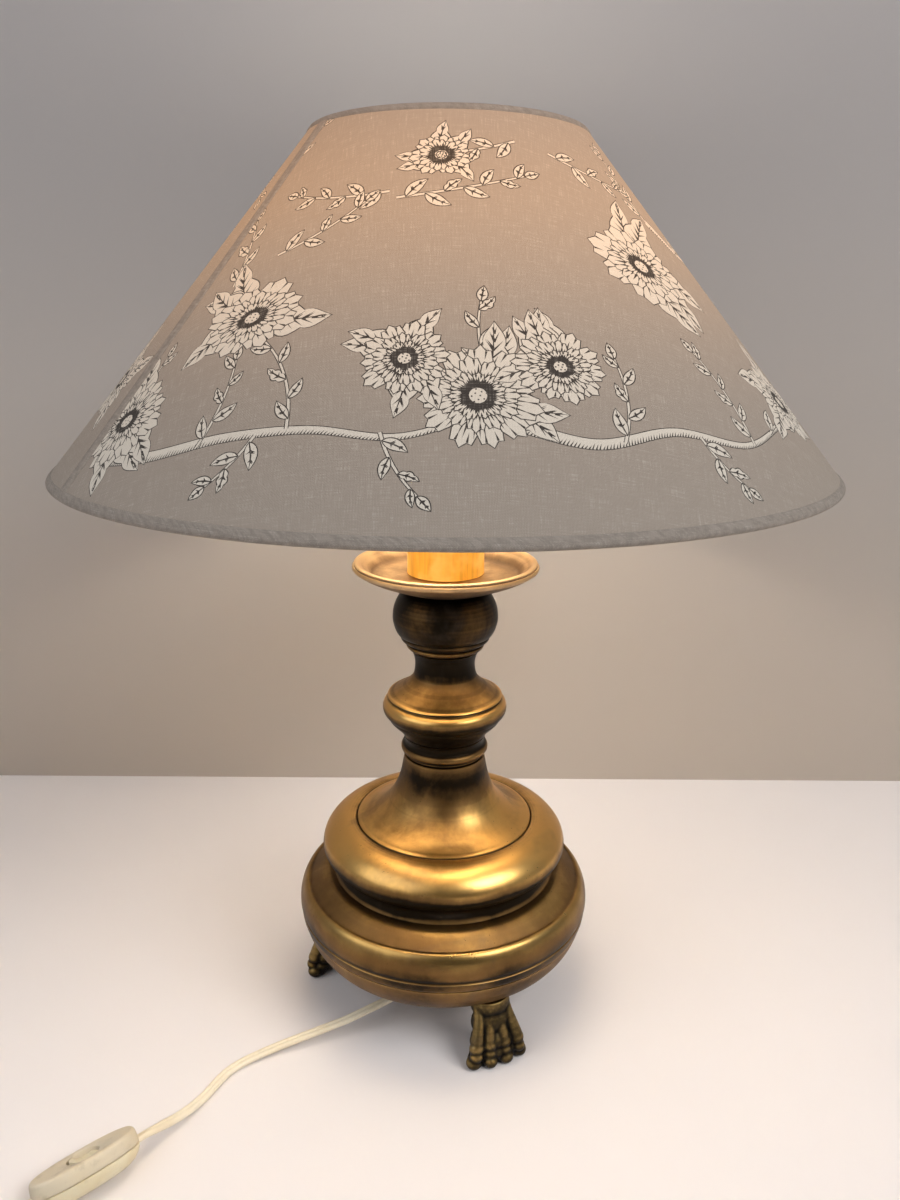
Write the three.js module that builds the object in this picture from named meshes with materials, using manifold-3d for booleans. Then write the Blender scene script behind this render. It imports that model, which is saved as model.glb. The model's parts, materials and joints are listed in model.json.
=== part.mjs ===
// Table lamp: a turned brass column on three paw feet, a candle sleeve, a wide cone shade
// and a flat lead with an inline switch. Millimetres, +Z up, table at z = 0, lamp axis at x = y = 0.
import * as THREE from 'three';
import { mergeVertices } from 'three/addons/utils/BufferGeometryUtils.js';
import Module from 'manifold-3d';

const wasm = await Module();
wasm.setup();

// Clearances and counts of sides
const FIT = 0.3;              // gap between neighbouring pieces
const BODY_SIDES = 32;        // sides of the wide turned pieces
const COLUMN_SIDES = 20;      // sides of the slim turned pieces
const SMALL_SIDES = 14;       // sides of the tube, pins and holes

// Base and feet
const FOOT_AZIMUTH = 21.8;    // degrees from the front, towards +X
const FOOT_COUNT = 3;
const TOE_REACH = 18.5;       // middle of the leg to the toe tips' middle
const TOE_COUNT = 4;
const TOE_PITCH = 9.6;
const TOE_WIDTH = 8.4;
const FOOT_INSET = 19.6;      // bowl's rim to the middle of the leg at its top
const ANKLE_WIDTH = 24;
const ANKLE_DEPTH = 19;
const FLOOR_HEIGHT = 41;      // underside of the bowl above the table
const SHEET = 1.6;            // wall of the spun brass shells
const BOWL_RIM_RADIUS = 95.6;
const BOWL_DEPTH = 19.6;
const BOWL_FLARE = 11.6;      // rim beyond the flat part of the bowl's underside
const SHELL_HEIGHT = 32.1;    // base shell above the bowl's rim
const GROOVE_RISE = 6.9;      // groove above the bowl's rim
const RING_RADIUS = 97.5;     // widest ring of the base
const RING_RISE = 10.9;
const CREST_RADIUS = 91.1;
const CREST_DROP = 6.4;       // crest below the shell's top
const SHOULDER_RADIUS = 78;
const SHELL_MOUTH = 60;       // radius of the opening in the shell's top
const PLATE_INSET = 6;        // shell's shoulder to the edge of the plate under it
const PLATE_THICKNESS = 3;
const FOOT_SCREW = 2.5;       // radius of the foot screws
const FOOT_SCREW_DEPTH = 23;  // into the foot, below the bowl
const FOOT_SCREW_ABOVE = 8;
const FOOT_NUT = 4.6;
const FOOT_NUT_HEIGHT = 4;

// Cushion ring and bell
const CUSHION_RADIUS = 81.2;
const CUSHION_RISE = 18.4;    // middle of the fat ring above the shell
const CUSHION_HALF = 18;      // half the fat ring's height
const CUSHION_BORE = 46;
const BELL_RIM_RADIUS = 58.1;
const BELL_RIM = 2;           // thickness of the bell's rim
const BELL_TOP_RADIUS = 26.8;
const BELL_HEIGHT = 44.7;     // above its rim

// Column knops
const TUBE_RADIUS = 5;        // threaded tube
const TUBE_BORE = 4;
const TUBE_BELOW_PLATE = 12;
const TUBE_IN_CUP = 5;
const NUT_HEIGHT = 5;
const NUT_RADIUS = 9;
const WASHER_RADIUS = 13;
const WASHER_THICKNESS = 1.5;
const COLLAR_RADIUS = 28.5;
const COLLAR_HEIGHT = 14.1;
const SAUCER_RADIUS = 40.2;
const SAUCER_HEIGHT = 57.7;
const BEAD_RISE = 18.3;       // the saucer's widest bead above its foot
const NECK_RADIUS = 19.2;
const BALL_RADIUS = 33.4;
const BALL_HEIGHT = 39.3;
const BALL_RISE = 21.2;       // the ball's widest place above its foot
const INSIDE_LEVELS = 4;      // steps of the hollow pieces' inner wall
const COLUMN_WALL = 2.2;
const FLANGE = 2.4;           // end plates of the hollow pieces

// Drip pan and candle sleeve
const PAN_RADIUS = 58.3;
const PAN_HEIGHT = 18.1;
const PAN_DEPTH = 8.3;
const PAN_FLOOR_RADIUS = 44.5;
const PAN_WALL = 1.8;
const SLEEVE_RADIUS = 24;
const SLEEVE_WALL = 2.5;
const SLEEVE_LENGTH = 102;
const CAP_PLATE = 1.5;        // brass disc between the sleeve and the lampholder
const CAP_PLUG = 3;           // its boss inside the sleeve

// Lampholder and bulb
const HOLDER_RADIUS = 20;
const HOLDER_WALL = 1.6;
const HOLDER_CUP = 20;        // height of the lampholder's cup
const HOLDER_SKIRT = 34;      // height of its threaded skirt
const SEAT_RADIUS = 27.5;     // ledge that carries the shade
const SEAT_BELOW_MOUTH = 12;
const SEAT_THICKNESS = 2.4;
const CORE_RADIUS = 17.6;
const CORE_HEIGHT = 15;
const SOCKET_BORE = 13.6;     // screw shell of the lampholder
const SOCKET_WALL = 0.8;
const BULB_CAP_RADIUS = 13.2;
const BULB_CAP_HEIGHT = 24;
const BULB_RADIUS = 30;
const BULB_LENGTH = 80;       // glass above the cap
const BULB_GLASS = 1.2;
const CONTACT_RADIUS = 4.6;

// Shade
const SHADE_BOTTOM_RADIUS = 225;
const SHADE_TOP_RADIUS = 75;
const SHADE_HEIGHT = 183;
const FITTER_DROP = 104.3;    // fitter below the shade's top
const COVER = 0.9;            // fabric with its hem
const BACKING = 0.5;          // stiff sheet that the fabric is laid on
const WIRE_RADIUS = 1.5;
const SPOKE_RADIUS = 1.75;
const SPOKE_COUNT = 3;
const HEM_TUCK = 5;
const FITTER_RADIUS = 30;     // outside of the ring that drops over the lampholder
const FITTER_THICKNESS = 1.8;
const RING_NUT_RADIUS = 25.5;
const RING_NUT_HEIGHT = 7;
const RING_NUT_KNURLS = 20;

// Lead, switch and plug. The lead is a flat twin core.
const CORD_WIDTH = 6.2;
const CORD_THICKNESS = 3.4;
const BUSH_LENGTH = 24;
const BUSH_WIDE = 6.4;
const BUSH_NARROW = 4.8;
const BUSH_PLUG_RADIUS = 9.5;
const BUSH_FLANGE_RADIUS = 12;
const BUSH_FLANGE = 1.6;
const BUSH_MOUTH = [-16, -43, 27.7];
const BUSH_HEADING = [-0.83, -0.25, -0.5];
const SWITCH_CENTRE = [-191.7, -170, 18.2];  // middle of the switch's top face
const SWITCH_TURN = 43;       // degrees from +X, the way its lead to the lamp points
const SWITCH_ROLL = 29;       // degrees, it lies on one edge
const SWITCH_LENGTH = 56;
const SWITCH_WIDTH = 25;
const SWITCH_TOP_DEPTH = 8;
const SWITCH_BASE_DEPTH = 8.4;
const SWITCH_WALL = 1.6;
const WELL_RADIUS = 8.7;
const WELL_DEPTH = 5.2;
const ROCKER_RADIUS = 8.1;
const ROCKER_TILT = 9;        // degrees, switched on
const PIN_RADIUS = 1;
const PIN_HALF = 10.4;
const SCREW_PLACES = [13, -13];
const SWITCH_SCREW = 1.3;
const SCREW_HEAD = 2.3;
const COIL_CENTRE = [-226, -263.5];
const COIL_RADIUS = 36;       // middle of its turns
const COIL_PITCH = 4.2;       // from turn to turn
const COIL_LAYER = 6.9;       // from layer to layer
const COIL_START = 133;       // degrees, where the lead joins the coil
const COIL_TURNS = 6.38;
const COIL_STEPS = 24;
const INNER_STEPS = 36;
const RUN_STEPS = 22;
const TAIL_STEPS = 5;
const LEAST_COIL_GAP = 0.4;
const DROP_LENGTH = 24;       // the lead comes down from the coil to the plug
const DROP_STEPS = 6;
const TIE_WIDTH = 5;
const TIE_THICKNESS = 0.8;
const TIE_PLACE = 30;         // degrees round the coil
const PLUG_LENGTH = 36;
const PLUG_WIDTH = 26;
const PLUG_HEIGHT = 14;
const PLUG_ROUNDING = 1.5;
const PLUG_PIN_RADIUS = 2;
const PLUG_PIN_LENGTH = 19;
const PLUG_PIN_PITCH = 18.6;

// The lead's route on the table, lamp to switch and switch to coil (middle of the lead)
const RUN_POINTS = [
  [-27, -46, 21.6], [-38, -49.4, 16.6], [-50, -54, 13.2], [-63, -59.2, 10], [-77, -64.9, 7.9],
  [-91.5, -70.8, 6], [-104, -76.2, 4.4], [-115, -81.6, 3], [-124.5, -87.4, 2], [-132, -95, 1.8],
  [-137, -104, 1.8], [-141, -113, 1.9], [-146, -122, 2.6], [-152, -131.6, 4.6], [-158.8, -141, 7.6],
];
const TAIL_POINTS = [
  [-217.5, -199.6, 8.6], [-226, -208, 5.9],
];

const BRASS = { color: 0x8a6a34, roughness: 0.42, metalness: 0.9 };
const DARK_BRASS = { color: 0x5c4a2c, roughness: 0.5, metalness: 0.85 };
const STEEL = { color: 0xa9abad, roughness: 0.4, metalness: 0.9 };
const IVORY = { color: 0xe6dcbc, roughness: 0.45, metalness: 0 };
const DRAB = { color: 0xcfc4b0, roughness: 0.5, metalness: 0 };
const FABRIC = { color: 0xb0a598, roughness: 0.9, metalness: 0 };
const AMBER = { color: 0xd8a45c, roughness: 0.55, metalness: 0 };

const lamp = new THREE.Group();
lamp.name = 'table_lamp';

const radians = THREE.MathUtils.degToRad;

// Adds one named piece to the lamp
function piece(name, geometry, finish, matrix = null) {
  const mesh = new THREE.Mesh(geometry, new THREE.MeshStandardMaterial(finish));
  mesh.name = name;
  if (matrix) mesh.applyMatrix4(matrix);
  lamp.add(mesh);
  return mesh;
}

// Closed mesh of only positions with shared vertices
function welded(geometry) {
  const bare = geometry.index ? geometry.toNonIndexed() : geometry.clone();
  bare.deleteAttribute('normal');
  bare.deleteAttribute('uv');
  return mergeVertices(bare, 1e-4);
}

function solid(geometry) {
  const bare = welded(geometry);
  return new wasm.Manifold(new wasm.Mesh({
    numProp: 3,
    vertProperties: new Float32Array(bare.attributes.position.array),
    triVerts: new Uint32Array(bare.index.array),
  }));
}

function geometryOf(manifold) {
  const mesh = manifold.getMesh();
  const geometry = new THREE.BufferGeometry();
  geometry.setAttribute('position', new THREE.BufferAttribute(new Float32Array(mesh.vertProperties), 3));
  geometry.setIndex(new THREE.BufferAttribute(new Uint32Array(mesh.triVerts), 1));
  return geometry;
}

function joined(geometries) {
  return geometryOf(geometries.map(solid).reduce((whole, next) => whole.add(next)));
}

function cut(geometry, tools) {
  return geometryOf(tools.map(solid).reduce((whole, tool) => whole.subtract(tool), solid(geometry)));
}

// Turned solid from [radius, height] points, listed upwards on the outside; it closes on itself
function turned(points, sides) {
  const profile = points.map(([radius, height]) => new THREE.Vector2(radius, height));
  if (points[0][0] > 0) profile.push(profile[0].clone());
  return new THREE.LatheGeometry(profile, sides).rotateX(Math.PI / 2);
}

// Radius of an outline at a height
function radiusAt(outline, height) {
  const above = Math.max(outline.findIndex(([, level]) => level >= height), 1);
  const [low, high] = [outline[above - 1], outline[above]];
  return THREE.MathUtils.mapLinear(height, low[1], high[1], low[0], high[0]);
}

// Hollow turned piece: end plates down to the bore, and a wall never thinner than asked
function hollow(outside, wall, bore, sides) {
  const low = outside[0][1];
  const high = outside[outside.length - 1][1];
  const step = (high - low - 2 * FLANGE) / INSIDE_LEVELS;
  const inside = Array.from({ length: INSIDE_LEVELS + 1 }, (_, level) => {
    const height = low + FLANGE + level * step;
    const near = [height - step, height + step].map((at) => THREE.MathUtils.clamp(at, low, high));
    const radii = outside.filter(([, at]) => at > near[0] && at < near[1]).map(([radius]) => radius);
    return [Math.min(...radii, ...near.map((at) => radiusAt(outside, at))) - wall, height];
  });
  return turned([
    [bore, low], ...outside, [bore, high], [bore, high - FLANGE], ...inside.reverse(), [bore, low + FLANGE],
  ], sides);
}

function tube(inner, outer, low, high, sides) {
  return turned([[inner, low], [outer, low], [outer, high], [inner, high]], sides);
}

function disc(radius, low, high, sides) {
  return new THREE.CylinderGeometry(radius, radius, high - low, sides)
    .rotateX(Math.PI / 2)
    .translate(0, 0, (low + high) / 2);
}

// Points of an arc in the profile plane, angles in degrees from the outward direction
function arc(radius, height, across, up, from, to, count) {
  return Array.from({ length: count + 1 }, (_, step) => {
    const angle = radians(from + (to - from) * step / count);
    return [radius + across * Math.cos(angle), height + up * Math.sin(angle)];
  });
}

// Straight rod between two points
function rod(start, end, radius, sides) {
  const from = new THREE.Vector3(...start);
  const way = new THREE.Vector3(...end).sub(from);
  const heading = way.clone().normalize();
  const turn = new THREE.Quaternion().setFromUnitVectors(new THREE.Vector3(0, 1, 0), heading);
  return new THREE.CylinderGeometry(radius, radius, way.length(), sides)
    .translate(0, way.length() / 2, 0)
    .applyQuaternion(turn)
    .translate(...start);
}

const pathOf = (points) => new THREE.CatmullRomCurve3(
  points.map((point) => new THREE.Vector3(...point)), false, 'centripetal',
);

// Flat lead's section, lying flat on a level path
function flatSection() {
  const w = CORD_WIDTH / 2;
  const h = CORD_THICKNESS / 2;
  return [
    [h, w - h], [h / 2, w], [-h / 2, w], [-h, w - h], [-h, h - w], [-h / 2, -w], [h / 2, -w], [h, h - w],
  ];
}

// The same lead on its edge
function edgeSection() {
  const w = CORD_WIDTH / 2;
  const h = CORD_THICKNESS / 2;
  return [[w, 0], [w / 2, h], [-w / 2, h], [-w, 0], [-w / 2, -h], [w / 2, -h]];
}

const shapeOf = (points) => new THREE.Shape(points.map(([x, y]) => new THREE.Vector2(x, y)));

// Lead along a path that starts level
function lead(path, section, steps) {
  return new THREE.ExtrudeGeometry(shapeOf(section), { steps, extrudePath: path });
}

// Points at shares of the way from one point to another, in the profile plane
const between = (from, to, shares) => shares.map(([across, up]) => [
  THREE.MathUtils.lerp(from[0], to[0], across), THREE.MathUtils.lerp(from[1], to[1], up),
]);

// Base: a spun bowl below, a spun shell above, joined at the lower groove
const bowlRim = FLOOR_HEIGHT + BOWL_DEPTH;
const flatRadius = BOWL_RIM_RADIUS - BOWL_FLARE;
const ankleRadius = BOWL_RIM_RADIUS - FOOT_INSET;
const toeRadius = ankleRadius + TOE_REACH;
const groove = bowlRim + GROOVE_RISE;
const shoulder = bowlRim + SHELL_HEIGHT;
const crest = shoulder - CREST_DROP;
const ringMiddle = bowlRim + RING_RISE;
const bushMouth = new THREE.Vector3(...BUSH_MOUTH);
const bushHeading = new THREE.Vector3(...BUSH_HEADING).normalize();
const bushTail = bushMouth.clone().addScaledVector(bushHeading, -BUSH_LENGTH);
const bushCrossing = bushMouth.clone().addScaledVector(
  bushHeading, (FLOOR_HEIGHT + SHEET / 2 - BUSH_MOUTH[2]) / bushHeading.z,
);

const footAngles = Array.from({ length: FOOT_COUNT }, (_, index) => (
  radians(FOOT_AZIMUTH - 90 - index * 360 / FOOT_COUNT)
));

const bowlOutside = between([flatRadius, FLOOR_HEIGHT], [BOWL_RIM_RADIUS, bowlRim], [
  [0, 0], [0.345, 0.143], [0.638, 0.367], [1, 1],
]);
const bowlInside = between([flatRadius - 0.6, FLOOR_HEIGHT + SHEET], [BOWL_RIM_RADIUS - SHEET, bowlRim], [
  [1, 1], [0.6, 0.36], [0, 0],
]);
const bowlBlank = turned([
  [0, FLOOR_HEIGHT], ...bowlOutside, ...bowlInside, [0, FLOOR_HEIGHT + SHEET],
], BODY_SIDES);
const bushHole = disc(BUSH_PLUG_RADIUS + FIT, FLOOR_HEIGHT - 5, FLOOR_HEIGHT + 5, SMALL_SIDES)
  .translate(bushCrossing.x, bushCrossing.y, 0);
const footHoles = footAngles.map((angle) => disc(
  FOOT_SCREW + FIT, FLOOR_HEIGHT - 5, FLOOR_HEIGHT + 5, SMALL_SIDES,
).translate(ankleRadius * Math.cos(angle), ankleRadius * Math.sin(angle), 0));
piece('base_bowl', cut(bowlBlank, [bushHole, ...footHoles]), BRASS);

const shellOutside = [
  [BOWL_RIM_RADIUS, bowlRim + FIT],
  [BOWL_RIM_RADIUS + 0.7, bowlRim + 1],
  [BOWL_RIM_RADIUS + 1.1, groove - 0.8],
  [BOWL_RIM_RADIUS + 0.2, groove],
  [RING_RADIUS - 0.3, groove + 0.9],
  ...between([RING_RADIUS, ringMiddle], [CREST_RADIUS, crest], [
    [0, 0], [0.14, 0.466], [0.547, 0.831], [1, 1],
  ]),
  [CREST_RADIUS - 3.6, crest - 1.2],
  [SHOULDER_RADIUS + 4.4, shoulder - 3.3],
  [SHOULDER_RADIUS, shoulder],
];
const shellInside = [
  [SHELL_MOUTH, shoulder],
  [SHELL_MOUTH, shoulder - SHEET],
  [SHOULDER_RADIUS - 0.6, shoulder - SHEET],
  [SHOULDER_RADIUS + 4.6, crest - SHEET - 0.6],
  [CREST_RADIUS - 0.8, crest - SHEET - 1],
  [RING_RADIUS - SHEET - 0.6, ringMiddle + 2],
  [BOWL_RIM_RADIUS - SHEET, bowlRim + FIT],
];
piece('base_shell', turned([...shellOutside, ...shellInside], BODY_SIDES), BRASS);

// Plate under the shell's top: it carries the column and the tube's nut bears on it
const plateTop = shoulder - SHEET - FIT;
const plateLow = plateTop - PLATE_THICKNESS;
piece('clamp_plate', tube(
  TUBE_RADIUS + FIT, SHOULDER_RADIUS - PLATE_INSET, plateLow, plateTop, COLUMN_SIDES,
), STEEL);

// Paw feet
function pawFoot(angle) {
  const parts = [];
  const legTop = FLOOR_HEIGHT - FIT;
  const leg = new THREE.Shape();
  leg.moveTo(ankleRadius - ANKLE_DEPTH / 2, legTop);
  leg.bezierCurveTo(ankleRadius - 8, legTop - 12, ankleRadius - 9, 18, ankleRadius - 10, 9);
  leg.quadraticCurveTo(ankleRadius - 10, 0, ankleRadius - 3, 0);
  leg.lineTo(toeRadius - 5, 0);
  leg.bezierCurveTo(toeRadius - 2, 8, ankleRadius + 12, 18, ankleRadius + 8, 26);
  leg.quadraticCurveTo(ankleRadius + 6.5, 34, ankleRadius + ANKLE_DEPTH / 2, legTop);
  leg.closePath();
  const width = ANKLE_WIDTH - 4;
  const block = new THREE.ExtrudeGeometry(leg, {
    depth: width, curveSegments: 3, bevelEnabled: true, bevelSize: 0, bevelThickness: 2, bevelSegments: 1,
  }).translate(0, 0, -width / 2).rotateX(Math.PI / 2);
  parts.push(block);
  for (let toe = 0; toe < TOE_COUNT; toe += 1) {
    const side = (toe - (TOE_COUNT - 1) / 2) * TOE_PITCH;
    const reach = Math.sqrt(toeRadius ** 2 - side ** 2);
    const spread = side * 0.62;
    const knuckles = [
      [reach - 9.5, spread * 1.35, 13, 6, TOE_WIDTH / 2],
      [reach - 4.5, side, TOE_WIDTH * 0.42, 6.2, TOE_WIDTH / 2],
    ];
    knuckles.forEach(([x, y, z, long, wide]) => {
      parts.push(new THREE.SphereGeometry(1, 6, 4).scale(long, wide, TOE_WIDTH * 0.46).translate(x, y, z));
    });
  }
  const bore = disc(FOOT_SCREW + FIT, FLOOR_HEIGHT - FOOT_SCREW_DEPTH - 2, legTop + 5, SMALL_SIDES)
    .translate(ankleRadius, 0, 0);
  const ground = new THREE.BoxGeometry(60, 80, 10).translate(ankleRadius + 10, 0, -5);
  const head = new THREE.BoxGeometry(80, 80, 10).translate(ankleRadius, 0, legTop + 5);
  return cut(joined(parts), [bore, ground, head]).rotateZ(angle);
}
['foot_front', 'foot_left', 'foot_rear'].forEach((name, index) => {
  piece(name, pawFoot(footAngles[index]), DARK_BRASS);
});

const bowlFloor = FLOOR_HEIGHT + SHEET;
const footScrew = (angle) => joined([
  disc(FOOT_SCREW, FLOOR_HEIGHT - FOOT_SCREW_DEPTH, bowlFloor + FOOT_SCREW_ABOVE - 1, 8),
  disc(FOOT_NUT, bowlFloor + FIT, bowlFloor + FIT + FOOT_NUT_HEIGHT, 6),
]).translate(ankleRadius * Math.cos(angle), ankleRadius * Math.sin(angle), 0);
['foot_screw_front', 'foot_screw_left', 'foot_screw_rear'].forEach((name, index) => {
  piece(name, footScrew(footAngles[index]), STEEL);
});

// Cushion ring: a neck standing on the shell, a crease, and the fat ring
const cushionFoot = shoulder + FIT;
const cushionMiddle = shoulder + CUSHION_RISE;
const cushionTop = cushionMiddle + CUSHION_HALF;
const bellSeat = cushionTop - 2.5;
const cushionCore = BELL_RIM_RADIUS + 3.3;
const cushionBulge = CUSHION_RADIUS - cushionCore;
const cushionOutside = [
  [SHOULDER_RADIUS - 1.6, cushionFoot],
  [SHOULDER_RADIUS - 5.2, cushionFoot + 4],
  [SHOULDER_RADIUS - 4.8, cushionFoot + 9],
  [CUSHION_RADIUS - 3.8, cushionMiddle - CUSHION_HALF / 3],
  ...arc(cushionCore, cushionMiddle, cushionBulge, CUSHION_HALF, -14, 78, 5),
  [BELL_RIM_RADIUS + 0.8, bellSeat],
];
piece('base_cushion', turned([
  ...cushionOutside,
  [CUSHION_BORE, bellSeat],
  [CUSHION_BORE, bellSeat - SHEET],
  [BELL_RIM_RADIUS + 2.4, bellSeat - SHEET],
  [CUSHION_RADIUS - 7.2, cushionMiddle + CUSHION_HALF * 0.55],
  [CUSHION_RADIUS - 2 * SHEET, cushionMiddle],
  [SHOULDER_RADIUS - 7.2, cushionFoot + 8],
  [SHOULDER_RADIUS - 10, cushionFoot + SHEET],
  [SHELL_MOUTH, cushionFoot + SHEET],
  [SHELL_MOUTH, cushionFoot],
], BODY_SIDES), BRASS);

// Bell
const bellLow = bellSeat + FIT;
const bellRim = bellLow + BELL_RIM;
const bellTop = bellRim + BELL_HEIGHT;
const bellOutside = [
  [BELL_RIM_RADIUS - 0.4, bellLow],
  [BELL_RIM_RADIUS, bellRim - 0.6],
  ...between([BELL_RIM_RADIUS, bellRim], [BELL_TOP_RADIUS, bellTop - 3], [
    [0.029, 0], [0.272, 0.074], [0.489, 0.17], [0.674, 0.3], [0.815, 0.458], [0.923, 0.674], [1, 1],
  ]),
  [BELL_TOP_RADIUS + 0.5, bellTop - 1.6],
  [BELL_TOP_RADIUS - 0.4, bellTop],
];
const bellBore = TUBE_RADIUS + FIT;
piece('bell', turned([
  ...bellOutside,
  [bellBore, bellTop],
  [bellBore, bellTop - FLANGE],
  [BELL_TOP_RADIUS - SHEET - 0.4, bellTop - FLANGE],
  ...between([BELL_RIM_RADIUS - SHEET, bellRim], [BELL_TOP_RADIUS - SHEET, bellTop - 3], [
    [0.936, 0.626], [0.674, 0.242], [0.176, -0.007],
  ]),
  [BELL_RIM_RADIUS - 7.1, bellLow],
], BODY_SIDES), BRASS);

// Collar ring between the bell and the saucer knop
const collarLow = bellTop + FIT;
const collarTop = collarLow + COLLAR_HEIGHT;
piece('collar_ring', hollow([
  [COLLAR_RADIUS - 3.1, collarLow],
  ...arc(COLLAR_RADIUS - 3, collarLow + 5.9, 3, 3.6, -60, 60, 4),
  [COLLAR_RADIUS - 2.3, collarTop - 3],
  [COLLAR_RADIUS - 1.7, collarTop],
], COLUMN_WALL, bellBore, COLUMN_SIDES), BRASS);

// Saucer knop with its groove, running up into the neck
const saucerLow = collarTop + FIT;
const saucerTop = saucerLow + SAUCER_HEIGHT;
const bead = saucerLow + BEAD_RISE;
const neckLow = saucerTop - 9.5;
piece('saucer_knop', hollow([
  ...between([COLLAR_RADIUS - 1.7, saucerLow], [SAUCER_RADIUS - 3.4, bead - 7], [
    [0, 0], [0.1, 0.186], [0.62, 0.699], [1, 1],
  ]),
  ...arc(SAUCER_RADIUS - 5, bead, 5, 6.2, -60, 60, 4),
  [SAUCER_RADIUS - 4, bead + 7],
  ...between([SAUCER_RADIUS - 3.3, bead + 8.3], [NECK_RADIUS, neckLow], [
    [0, 0], [0.3, 0.162], [0.706, 0.394], [0.932, 0.644], [1, 1],
  ]),
  [NECK_RADIUS + 1, saucerTop - 4],
  [NECK_RADIUS + 4, saucerTop],
], COLUMN_WALL, bellBore, COLUMN_SIDES), BRASS);

// Ball knop: a thin bead, a ledge and the ball
const ballLow = saucerTop + FIT;
const ballTop = ballLow + BALL_HEIGHT;
const ballMiddle = ballLow + BALL_RISE;
const ballCore = BALL_RADIUS - 18;
piece('ball_knop', hollow([
  [NECK_RADIUS + 4.2, ballLow],
  [NECK_RADIUS + 6.2, ballLow + 2.1],
  [NECK_RADIUS + 5.2, ballLow + 4.7],
  [BALL_RADIUS - 4.8, ballLow + 8.1],
  [BALL_RADIUS - 4.2, ballLow + 10.3],
  ...arc(ballCore, ballMiddle, BALL_RADIUS - ballCore, ballTop - ballMiddle + 0.5, -34, 62, 6),
  [BALL_RADIUS - 10.8, ballTop],
], COLUMN_WALL, bellBore, COLUMN_SIDES), BRASS);

// Drip pan with its rolled rim
const panLow = ballTop + FIT;
const panRim = panLow + PAN_HEIGHT;
const panFloor = panRim - PAN_DEPTH;
const panFoot = BALL_RADIUS - 6.4;
piece('drip_pan', turned([
  [TUBE_RADIUS + FIT, panLow],
  ...between([panFoot, panLow], [PAN_RADIUS, panRim - 3.6], [
    [0, 0], [0.16, 0.172], [0.735, 0.655], [0.946, 0.89], [1, 1],
  ]),
  [PAN_RADIUS - 0.2, panRim - 2.2],
  [PAN_RADIUS - 1.2, panRim - 1.6],
  [PAN_RADIUS - 2, panRim],
  [PAN_RADIUS - 5, panRim - 0.6],
  [PAN_FLOOR_RADIUS + 3.9, panFloor + 3.7],
  [PAN_FLOOR_RADIUS, panFloor],
  [TUBE_RADIUS + FIT, panFloor],
  [TUBE_RADIUS + FIT, panFloor - PAN_WALL],
  [panFoot + 1, panFloor - PAN_WALL],
  [panFoot - 1, panLow + PAN_WALL + 1],
  [TUBE_RADIUS + FIT, panLow + PAN_WALL],
], BODY_SIDES), BRASS);

// Candle sleeve and the disc that closes it
const sleeveLow = panFloor + FIT;
const sleeveTop = sleeveLow + SLEEVE_LENGTH;
piece('candle_sleeve', tube(
  SLEEVE_RADIUS - SLEEVE_WALL, SLEEVE_RADIUS, sleeveLow, sleeveTop, COLUMN_SIDES,
), AMBER);
const capLow = sleeveTop + FIT;
const capTop = capLow + CAP_PLATE;
piece('sleeve_cap', turned([
  [TUBE_RADIUS + FIT, capLow - CAP_PLUG],
  [SLEEVE_RADIUS - SLEEVE_WALL - FIT, capLow - CAP_PLUG],
  [SLEEVE_RADIUS - SLEEVE_WALL - FIT, capLow],
  [SLEEVE_RADIUS + 1, capLow],
  [SLEEVE_RADIUS + 1, capTop],
  [TUBE_RADIUS + FIT, capTop],
], COLUMN_SIDES), BRASS);

// Lampholder: cup, threaded skirt with its ledge, insulating core, screw shell, contact tongue
const cupLow = capTop + FIT;
const cupTop = cupLow + HOLDER_CUP;
piece('holder_cup', turned([
  [TUBE_RADIUS + FIT, cupLow],
  [HOLDER_RADIUS - 6, cupLow],
  [HOLDER_RADIUS - 1.2, cupLow + 4.6],
  [HOLDER_RADIUS, cupLow + 9],
  [HOLDER_RADIUS, cupTop],
  [HOLDER_RADIUS - HOLDER_WALL, cupTop],
  [HOLDER_RADIUS - HOLDER_WALL, cupLow + 8.4],
  [HOLDER_RADIUS - 6.6, cupLow + HOLDER_WALL],
  [TUBE_RADIUS + FIT, cupLow + HOLDER_WALL],
], COLUMN_SIDES), BRASS);
const skirtLow = cupTop + FIT;
const mouth = skirtLow + HOLDER_SKIRT;
const seatTop = mouth - SEAT_BELOW_MOUTH;
const skirtOutside = HOLDER_RADIUS - 0.4;
piece('holder_skirt', turned([
  [skirtOutside - HOLDER_WALL, skirtLow],
  [skirtOutside, skirtLow],
  [skirtOutside, seatTop - SEAT_THICKNESS - 2],
  [SEAT_RADIUS, seatTop - SEAT_THICKNESS],
  [SEAT_RADIUS, seatTop],
  [skirtOutside, seatTop],
  [skirtOutside, mouth],
  [skirtOutside - HOLDER_WALL - 1.4, mouth],
  [skirtOutside - HOLDER_WALL - 1.4, mouth - 1.6],
  [skirtOutside - HOLDER_WALL, mouth - 1.6],
], COLUMN_SIDES), BRASS);
const bulbLow = mouth - BULB_CAP_HEIGHT + 1;
const coreTop = bulbLow - 3.4;
const coreLow = coreTop - CORE_HEIGHT;
piece('holder_core', turned([
  [TUBE_RADIUS + FIT, coreLow],
  [CORE_RADIUS - 3, coreLow],
  [CORE_RADIUS, coreLow + 3],
  [CORE_RADIUS, coreTop],
  [0, coreTop],
  [0, coreTop - 3],
  [TUBE_RADIUS + FIT, coreTop - 3],
], COLUMN_SIDES), { color: 0xe9e5dc, roughness: 0.3, metalness: 0 });
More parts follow.
